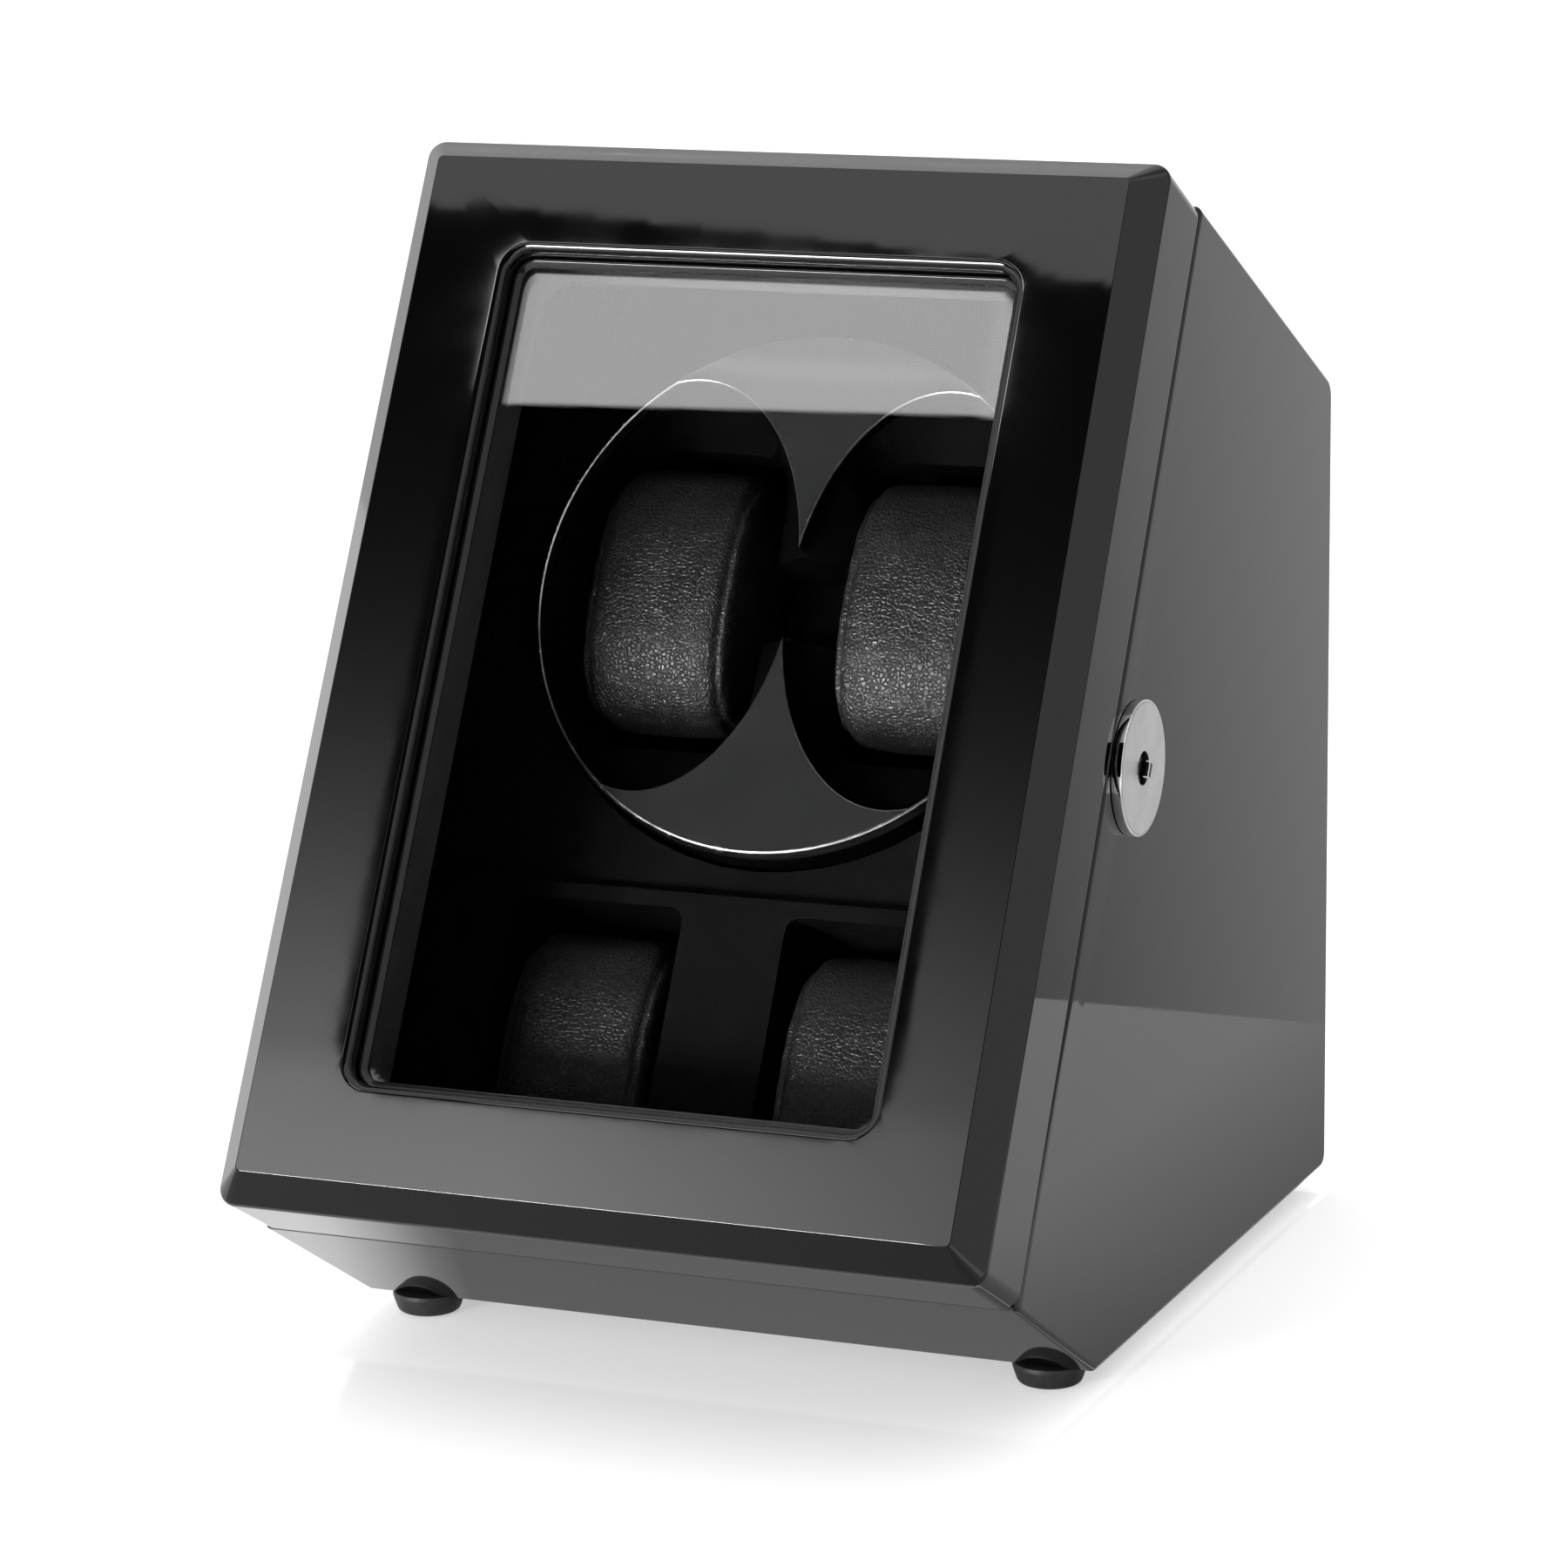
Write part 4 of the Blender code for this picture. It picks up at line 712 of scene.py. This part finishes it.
def pillow_base(low, high, shrink=1.0):
    """A pillow as rings across its width, round a soft oval, with domed flanks."""
    middle, half = (low + high) / 2, (high - low) / 2 * shrink
    solid = bmesh.new()
    rings = []
    levels = [-1 + DOME * (1 - math.cos(math.radians(90 * k / DOME_STEPS)))
              for k in range(1, DOME_STEPS + 1)]
    straight = [(-1 + DOME) + 2 * (1 - DOME) * k / BAND_STEPS for k in range(1, BAND_STEPS)]
    for level in levels + straight + [-x for x in levels[::-1]]:
        beyond = max(abs(level) - (1 - DOME), 0) / DOME
        swell = math.sqrt(max(1 - beyond ** 2, 0)) * FLANK_DROP + 1 - FLANK_DROP
        crown = 1 - 0.012 * (level / (1 - DOME)) ** 2
        ring = []
        for i in range(TURNS):
            angle = math.tau * i / TURNS
            c, s = math.cos(angle), math.sin(angle)
            a = math.copysign(abs(c) ** (2 / SQUARENESS), c) * half.y * swell * crown
            b = math.copysign(abs(s) ** (2 / SQUARENESS), s) * half.z * swell * crown
            ring.append(solid.verts.new((middle.x + level * half.x, middle.y + a, middle.z + b)))
        rings.append(ring)
    walls(solid, rings)
    for ring in (rings[0], rings[-1]):
        inner = ring
        for share in (0.8, 0.55, 0.3, 0.12):
            following = []
            for vertex in ring:
                y = middle.y + (vertex.co.y - middle.y) * share
                z = middle.z + (vertex.co.z - middle.z) * share
                following.append(solid.verts.new((vertex.co.x, y, z)))
            walls(solid, [inner, following])
            inner = following
        tip = solid.verts.new((ring[0].co.x, middle.y, middle.z))
        for i in range(TURNS):
            solid.faces.new((inner[i], inner[(i + 1) % TURNS], tip))
    return solid


def puffed(low, high):
    """The same pillow remeshed and blown up as cloth, as a tree to find its surface by."""
    copy = make("puffing", pillow_base(low, high, SNUG), [])
    remesh = copy.modifiers.new("remesh", "REMESH")
    remesh.mode, remesh.voxel_size = "VOXEL", VOXEL
    settle(copy)
    start = [v.co.copy() for v in copy.data.vertices]
    cloth = copy.modifiers.new("cloth", "CLOTH")
    cloth.settings.quality = 6
    cloth.settings.tension_stiffness = cloth.settings.compression_stiffness = 18
    cloth.settings.bending_stiffness = 2.0
    cloth.settings.use_pressure = True
    cloth.settings.uniform_pressure_force = PRESSURE
    cloth.settings.effector_weights.gravity = 0
    scene = bpy.context.scene
    for number in range(1, SIMULATION_FRAMES + 1):
        scene.frame_set(number)
    settle(copy)
    scene.frame_set(1)
    for vertex, before in zip(copy.data.vertices, start):
        move = vertex.co - before
        if move.length > PUFF_LIMIT:
            vertex.co = before + move.normalized() * PUFF_LIMIT
    subdivide = copy.modifiers.new("smooth", "SUBSURF")
    subdivide.levels = subdivide.render_levels = 1
    settle(copy)
    graph = bmesh.new()
    graph.from_mesh(copy.data)
    tree = BVHTree.FromBMesh(graph)
    graph.free()
    bpy.data.objects.remove(copy)
    return tree


def groove(distance, width, depth):
    return depth * math.exp(-(distance / width) ** 2)


def pillow(node, body):
    """A leather cover with seams along its band and pleats on its flanks."""
    low, high = span(node)
    middle = (low + high) / 2
    cushion = make(f"{node}_cover", pillow_base(low, high), [PILLOW])
    tree = puffed(low, high)
    for vertex in cushion.data.vertices:
        found = tree.find_nearest(vertex.co)[0]
        if found:
            vertex.co = vertex.co.lerp(found, FOLLOW)
    for vertex in cushion.data.vertices:
        place = UNSLANT @ vertex.co
        inwards = Vector((0, middle.y - place.y, middle.z - place.z))
        if inwards.length < 0.012:
            continue
        across = abs(place.x - middle.x)
        depth = groove(across - BAND_HALF, SEAM_WIDTH, SEAM_DEPTH)
        depth += groove(across - (BAND_HALF - HEM_DISTANCE), 0.00035, HEM_DEPTH)
        roll = math.sin(math.atan2(place.z - middle.z, place.y - middle.y) * PLEATS + middle.x * 900)
        depth += PLEAT_DEPTH * roll * (across > BAND_HALF + SEAM_WIDTH)
        place += inwards.normalized() * depth
        vertex.co = SLANT @ place
    cushion.data.update()
    finish_piece(cushion, body, "pillow_leather", node)


def pillows():
    for side in ("left", "right"):
        for node in (f"pillow_{side}", f"stored_pillow_{side}"):
            pillow(node, node)


# --- Lock -----------------------------------------------------------------------------------

def lock():
    """Cover disc with a satin face and a mirror rim, and the stub in its keyhole."""
    low, high = span("lock_body")
    face, seat, radius = high.x, CASE_HALF + SIDE_GROW + 0.0001, (high.z - low.z) / 2
    centre = (LOCK.y, LOCK.z)
    rim = eased([(0.0090, seat, 0), (radius, seat, 0.0002), (radius, face, 0.00045),
                 (radius - 0.0009, face, 0)])
    body = list(rim) + [Vector(p) for p in ((0.0047, face), (0.0045, face - 0.0002),
                                            (0.0045, face - 0.0020), (0.0058, face - 0.0020),
                                            (0.0058, low.x), (0.0090, low.x))]
    disc = make("lock_cover", turned(body, "X", 128, centre, closed=True),
                [MIRROR, SATIN_STEEL, GASKET])
    for face_of in disc.data.polygons:
        middle = UNSLANT @ face_of.center
        out = math.hypot(middle.y - LOCK.y, middle.z - LOCK.z)
        if middle.x > face - 0.0001 and 0.0046 < out < radius - 0.0008:
            face_of.material_index = 1
        elif out < 0.0060:
            face_of.material_index = 2
    finish_piece(disc, "case", "chrome", "lock_body")
    key_low, key_high = span("lock_key")
    key = make("lock_stub", block((key_low.x, key_high.x), (key_low.y, key_high.y),
                                  (key_low.z, key_high.z)), [DARK_METAL, MIRROR])
    finish_piece(soften(key, 0.0004, material=1), "lock", "chrome", "lock_key")


# --- Rear -----------------------------------------------------------------------------------

def rear():
    """Knob with a fluted grip and a pointer line, and a panel with screws."""
    low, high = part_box("programme_knob")
    radius = (high.z - low.z) / 2
    flutes, steps = 24, 192
    rings = []
    solid = bmesh.new()
    for share, y in ((0.97, low.y + 0.0036), (1.0, low.y + 0.0040), (1.0, high.y - 0.0022),
                     (0.96, high.y - 0.0008), (0.90, high.y - 0.0001)):
        ring = []
        for i in range(steps):
            angle = math.tau * i / steps
            dent = 0.00035 * (0.5 - 0.5 * math.cos(flutes * angle)) * (share > 0.95)
            out = radius * share - dent
            ring.append(solid.verts.new((KNOB.x + out * math.cos(angle), y,
                                         KNOB.z + out * math.sin(angle))))
        rings.append(ring)
    close(solid, rings)
    knob = make("knob_grip", solid, [SATIN], LEVEL)
    mark = block((KNOB.x - 0.0005, KNOB.x + 0.0005), (high.y - 0.0006, high.y + 0.001),
                 (KNOB.z + 0.0005, KNOB.z + radius - 0.0008))
    carve(knob, [mark], LEVEL)
    flatten(knob)
    finish_piece(knob, "programme_knob", "black_plastic", "programme_knob")

    low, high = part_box("control_panel")
    inset = 0.0040
    for x in (low.x + inset, high.x - inset):
        for z in (low.z + inset, high.z - inset):
            profile = eased([(0, high.y + 0.0008, 0), (0.0015, high.y + 0.0008, 0.0004),
                             (0.0015, high.y + 0.00005, 0), (0, high.y + 0.00005, 0)])
            screw = make(f"panel_screw_{'l' if x < 0 else 'r'}{'b' if z < KNOB.z else 't'}",
                         turned(profile, "Y", 32, (x, z)), [STEEL], LEVEL)
            carve(screw, [block((x - 0.0010, x + 0.0010), (high.y + 0.0005, high.y + 0.002),
                                (z - 0.0002, z + 0.0002)),
                          block((x - 0.0002, x + 0.0002), (high.y + 0.0005, high.y + 0.002),
                                (z - 0.0010, z + 0.0010))], LEVEL)
            finish_piece(screw, "case", "steel")


def dress_nodes():
    """Give the CAD nodes that stay their finishes."""
    finishes = {
        LINING: ["fascia", "storage_tray"],
        board(): ["motor_board"],
        circuit(): ["control_board"],
        nylon(): ["drive_gear", "motor_pinion"],
        SATIN: ["control_panel", "power_socket", "programme_switch", "glass_retainer"],
        BRASS: ["shaft_bush", "bracket_spacer_left", "bracket_spacer_right"]
        + [f"hinge_{end}_{part}" for end in ("lower", "upper")
           for part in ("case_leaf", "door_leaf", "pin")],
        STEEL: ["motor_bracket", "gear_motor", "lock_nut", "case_keeper", "strike_plate",
                "door_magnet", "turntable_shaft", "shaft_clip", "motor_shaft", "lock_cam"],
        DARK_METAL: ["lock_barrel"],
    }
    for material, nodes in finishes.items():
        for node in nodes:
            mesh = frame["nodes"][node].data
            mesh.materials.clear()
            mesh.materials.append(material)


# --- Studio ---------------------------------------------------------------------------------

def camera():
    """The camera, at the angle and distance of the photograph."""
    forward = Vector((-math.sin(YAW) * math.cos(PITCH), math.cos(YAW) * math.cos(PITCH),
                      math.sin(PITCH)))
    flat = Vector((math.cos(YAW), math.sin(YAW), 0))
    rise = flat.cross(forward)
    across = flat * math.cos(ROLL) + rise * math.sin(ROLL)
    upward = rise * math.cos(ROLL) - flat * math.sin(ROLL)
    matrix = Matrix((across, upward, -forward)).transposed().to_4x4()
    matrix.translation = CAMERA
    data = bpy.data.cameras.new("camera")
    data.lens, data.sensor_width = LENS, 36.0
    data.clip_start, data.clip_end = 0.05, 50
    made = bpy.data.objects.new("camera", data)
    made.matrix_world = matrix
    bpy.context.scene.collection.objects.link(made)
    bpy.context.scene.camera = made


def mirrored(point, normal, distance):
    """Where the camera's ray to a mirror's point ends up, a distance beyond the mirror."""
    ray = (point - CAMERA).normalized()
    return point + (ray - 2 * ray.dot(normal) * normal) * distance


def glowing(name):
    """An emission material as bright as its mesh's glow attribute says."""
    material = bpy.data.materials.new(name)
    material.use_nodes = True
    nodes, links = material.node_tree.nodes, material.node_tree.links
    nodes.clear()
    out = nodes.new("ShaderNodeOutputMaterial")
    glow = nodes.new("ShaderNodeEmission")
    level = nodes.new("ShaderNodeAttribute")
    level.attribute_name = "glow"
    links.new(level.outputs["Fac"], glow.inputs["Strength"])
    links.new(glow.outputs["Emission"], out.inputs["Surface"])
    return material


def card(name, across, up, place, glow, seen_by=("glossy",)):
    """A studio card. place gives its points, glow their brightness, seen_by the rays that meet
    it: glossy for mirrored in a surface, transmission for seen out through the pane."""
    solid = bmesh.new()
    rows = [[solid.verts.new(place(a, b)) for a in across] for b in up]
    for lower, upper in zip(rows, rows[1:]):
        for i in range(len(lower) - 1):
            solid.faces.new((lower[i], lower[i + 1], upper[i + 1], upper[i]))
    mesh = bpy.data.meshes.new(name)
    solid.to_mesh(mesh)
    solid.free()
    levels = mesh.attributes.new("glow", "FLOAT", "POINT")
    levels.data.foreach_set("value", [glow(a, b) for b in up for a in across])
    mesh.materials.append(glowing(name))
    made = bpy.data.objects.new(name, mesh)
    bpy.context.scene.collection.objects.link(made)
    for ray in ("camera", "diffuse", "glossy", "transmission", "shadow", "volume_scatter"):
        setattr(made, f"visible_{ray}", ray in seen_by)


def steps_between(low, high, count):
    return [low + (high - low) * i / (count - 1) for i in range(count)]


def between(value, start, length):
    """0 up to start, rising to 1 a length beyond it."""
    return min(max((value - start) / length, 0), 1)


def door_glow(x, z):
    """What the door mirrors: a dark room, a low bright window and a pale top edge."""
    top_edge, top_glow = 0.2775 - 0.075 * x, 1.45
    if z > top_edge:
        return top_glow
    half, foot, corner = 0.0765, 0.0355, 0.016    # the dark middle, rounded at its lower corners
    if math.hypot(max(abs(x) - half + corner, 0), max(foot + corner - z, 0)) < corner:
        return 0.0
    height, steepness = 0.094, 1.9
    fade = math.exp(-(max(z, 0) / height) ** steepness)
    lower_rail = 1 + 0.25 * (1 - between(z, 0.035, 0.01))
    return min(max(3.0 - 12 * x, 0.4), 3.3) * fade * lower_rail


def dark_cards():
    """The unlit room in front of the box, and its ceiling."""
    half, front, end, height, ceiling = 2.6, -2.3, -0.25, 3.2, 2.2
    card("dark_room", steps_between(-half, half, 3), steps_between(0.0, height, 3),
         lambda x, z: Vector((x, front, z)), lambda x, z: 0.0, ("glossy", "transmission"))
    card("dark_ceiling", steps_between(-half, half, 3), steps_between(front, end, 3),
         lambda x, y: Vector((x, y, ceiling)), lambda x, y: 0.0, ("transmission",))


def door_card():
    """The card that the door's face mirrors."""
    away = 1.20
    card("door_card", steps_between(-0.15, 0.15, 201), steps_between(-0.05, 0.35, 321),
         lambda x, z: mirrored(SLANT @ Vector((x, 0.0, z)), OUTWARD, away), door_glow)


def pane_cards():
    """The softbox that the pane mirrors. Its ends are left to the pane's second face."""
    depth, round_off, away = 0.0080, 0.007, 1.15
    left, right, low, high = -0.0735, 0.0735, 0.2300, 0.2695
    first_glow, second_glow = 8.4, 9.2
    tilt, soft_edge, soft_end = 0.0035, 0.0012, 0.006
    behind = 0.0013                  # how far the pane's second face shifts what it mirrors

    def block_glow(x, z):
        dx = max(left + round_off - x, x - (right - round_off), 0)
        dz = max(z - (high - round_off), 0)
        edge = low + tilt * (x - left) / (right - left)
        return between(z, edge, soft_edge) if math.hypot(dx, dz) < round_off else 0.0

    def middle(x):
        """1 in the block's middle, falling to 0 at its ends so the door doesn't mirror it."""
        return between(min(x - left, right - x), 0, soft_end)

    columns, rows = steps_between(left, right, 161), steps_between(low, high, 61)
    card("pane_card", columns, rows,
         lambda x, z: mirrored(SLANT @ Vector((x, depth, z)), OUTWARD, away),
         lambda x, z: first_glow * block_glow(x, z) * middle(x))
    card("pane_ends_card", columns, rows,
         lambda x, z: mirrored(SLANT @ Vector((x - behind, depth, z)), OUTWARD, away),
         lambda x, z: second_glow * block_glow(x, z) * (1 - middle(x)), ("transmission",))


def side_cards():
    """What the top chamfer, the right side, the lower front and the right chamfer mirror."""
    away = 1.3
    tangent = Vector((0, CHAMFER_DEPTH, CHAMFER_FACE))
    chamfer = (SLANT.to_3x3() @ Vector((0, -CHAMFER_FACE, CHAMFER_DEPTH))).normalized()
    card("top_card", steps_between(-0.13, 0.13, 9), steps_between(-0.03, 0.03, 5),
         lambda x, b: mirrored(SLANT @ (Vector((x, CHAMFER_DEPTH / 2, TALL)) + tangent * b),
                               chamfer, away), lambda x, b: 2.8)
    wall, above = ORIGIN.y + 0.487, 0.0006
    card("side_card", steps_between(0.11, 1.0, 31), steps_between(above, 1.2, 9),
         lambda x, z: Vector((x, wall, z)),
         lambda x, z: max(0.85 - 3.0 * (x - 0.12), 0.35) * (0.82 + 1.4 * min(z, 0.3)))
    # The floor that the right side mirrors, dimmed next to the case: a painted shadow of the case.
    card("side_floor_card", steps_between(0.112, 0.7, 9), steps_between(-0.30, wall, 13),
         lambda x, y: Vector((x, y, above)),
         lambda x, y: (0.58 + 0.22 * between(y, -0.1, 0.15)) * (0.5 + 0.5 * between(x, 0.112, 0.09)))
    # The floor that the lower front mirrors: dim under the box as a painted shadow, bright beyond its
    # left end.
    card("nose_card", steps_between(-0.17, 0.11, 29), steps_between(-0.105, 0.14, 3),
         lambda x, y: Vector((x, y, above)),
         lambda x, y: 0.27 + 1.20 * between(-x, 0.085, 0.04))
    card("chamfer_card", steps_between(-0.30, 0.12, 9), steps_between(-0.34, -0.17, 3),
         lambda x, y: Vector((x, y, 0.020)), lambda x, y: 0.50 - 0.9 * x)
    card("right_card", steps_between(-1.6, 1.2, 3), steps_between(0.05, 2.4, 3),
         lambda y, z: Vector((2.0, y, z)), lambda y, z: 0.75)


def light(name, place, aim, width, height, power):
    data = bpy.data.lights.new(name, "AREA")
    data.shape = "RECTANGLE"
    data.size, data.size_y, data.energy = width, height, power
    made = bpy.data.objects.new(name, data)
    made.location = place
    made.rotation_euler = (Vector(aim) - Vector(place)).to_track_quat("-Z", "Y").to_euler()
    made.visible_camera = False
    bpy.context.scene.collection.objects.link(made)


def studio():
    """A white room, a pale floor and one low soft light."""
    world = bpy.data.worlds.new("studio")
    bpy.context.scene.world = world
    world.use_nodes = True
    world.node_tree.nodes["Background"].inputs["Color"].default_value = (1, 1, 1, 1)
    world.node_tree.nodes["Background"].inputs["Strength"].default_value = 1.0
    bpy.context.scene.view_settings.view_transform = "Standard"
    floor = Finish("floor", (0.92, 0.92, 0.92), 0.12, IOR=1.35)
    floor.shader.inputs["Emission Color"].default_value = (1, 1, 1, 1)
    floor.shader.inputs["Emission Strength"].default_value = 0.42
    floor.rough(floor.noise(0.3), 0.08, 0.14)
    solid = bmesh.new()
    half = 12
    solid.faces.new([solid.verts.new(p) for p in ((-half, -half, 0), (half, -half, 0),
                                                  (half, half, 0), (-half, half, 0))])
    ground = make("floor", solid, [floor.material], LEVEL)
    aim = SLANT @ DISC
    light("front_left_low", (-0.60, -1.45, 0.15), aim, 0.42, 0.22, 23)


case_shell()
feet()
door_shell()
window_parts()
turntable()
pillows()
lock()
rear()
dress_nodes()
camera()
dark_cards()
door_card()
pane_cards()
side_cards()
studio()
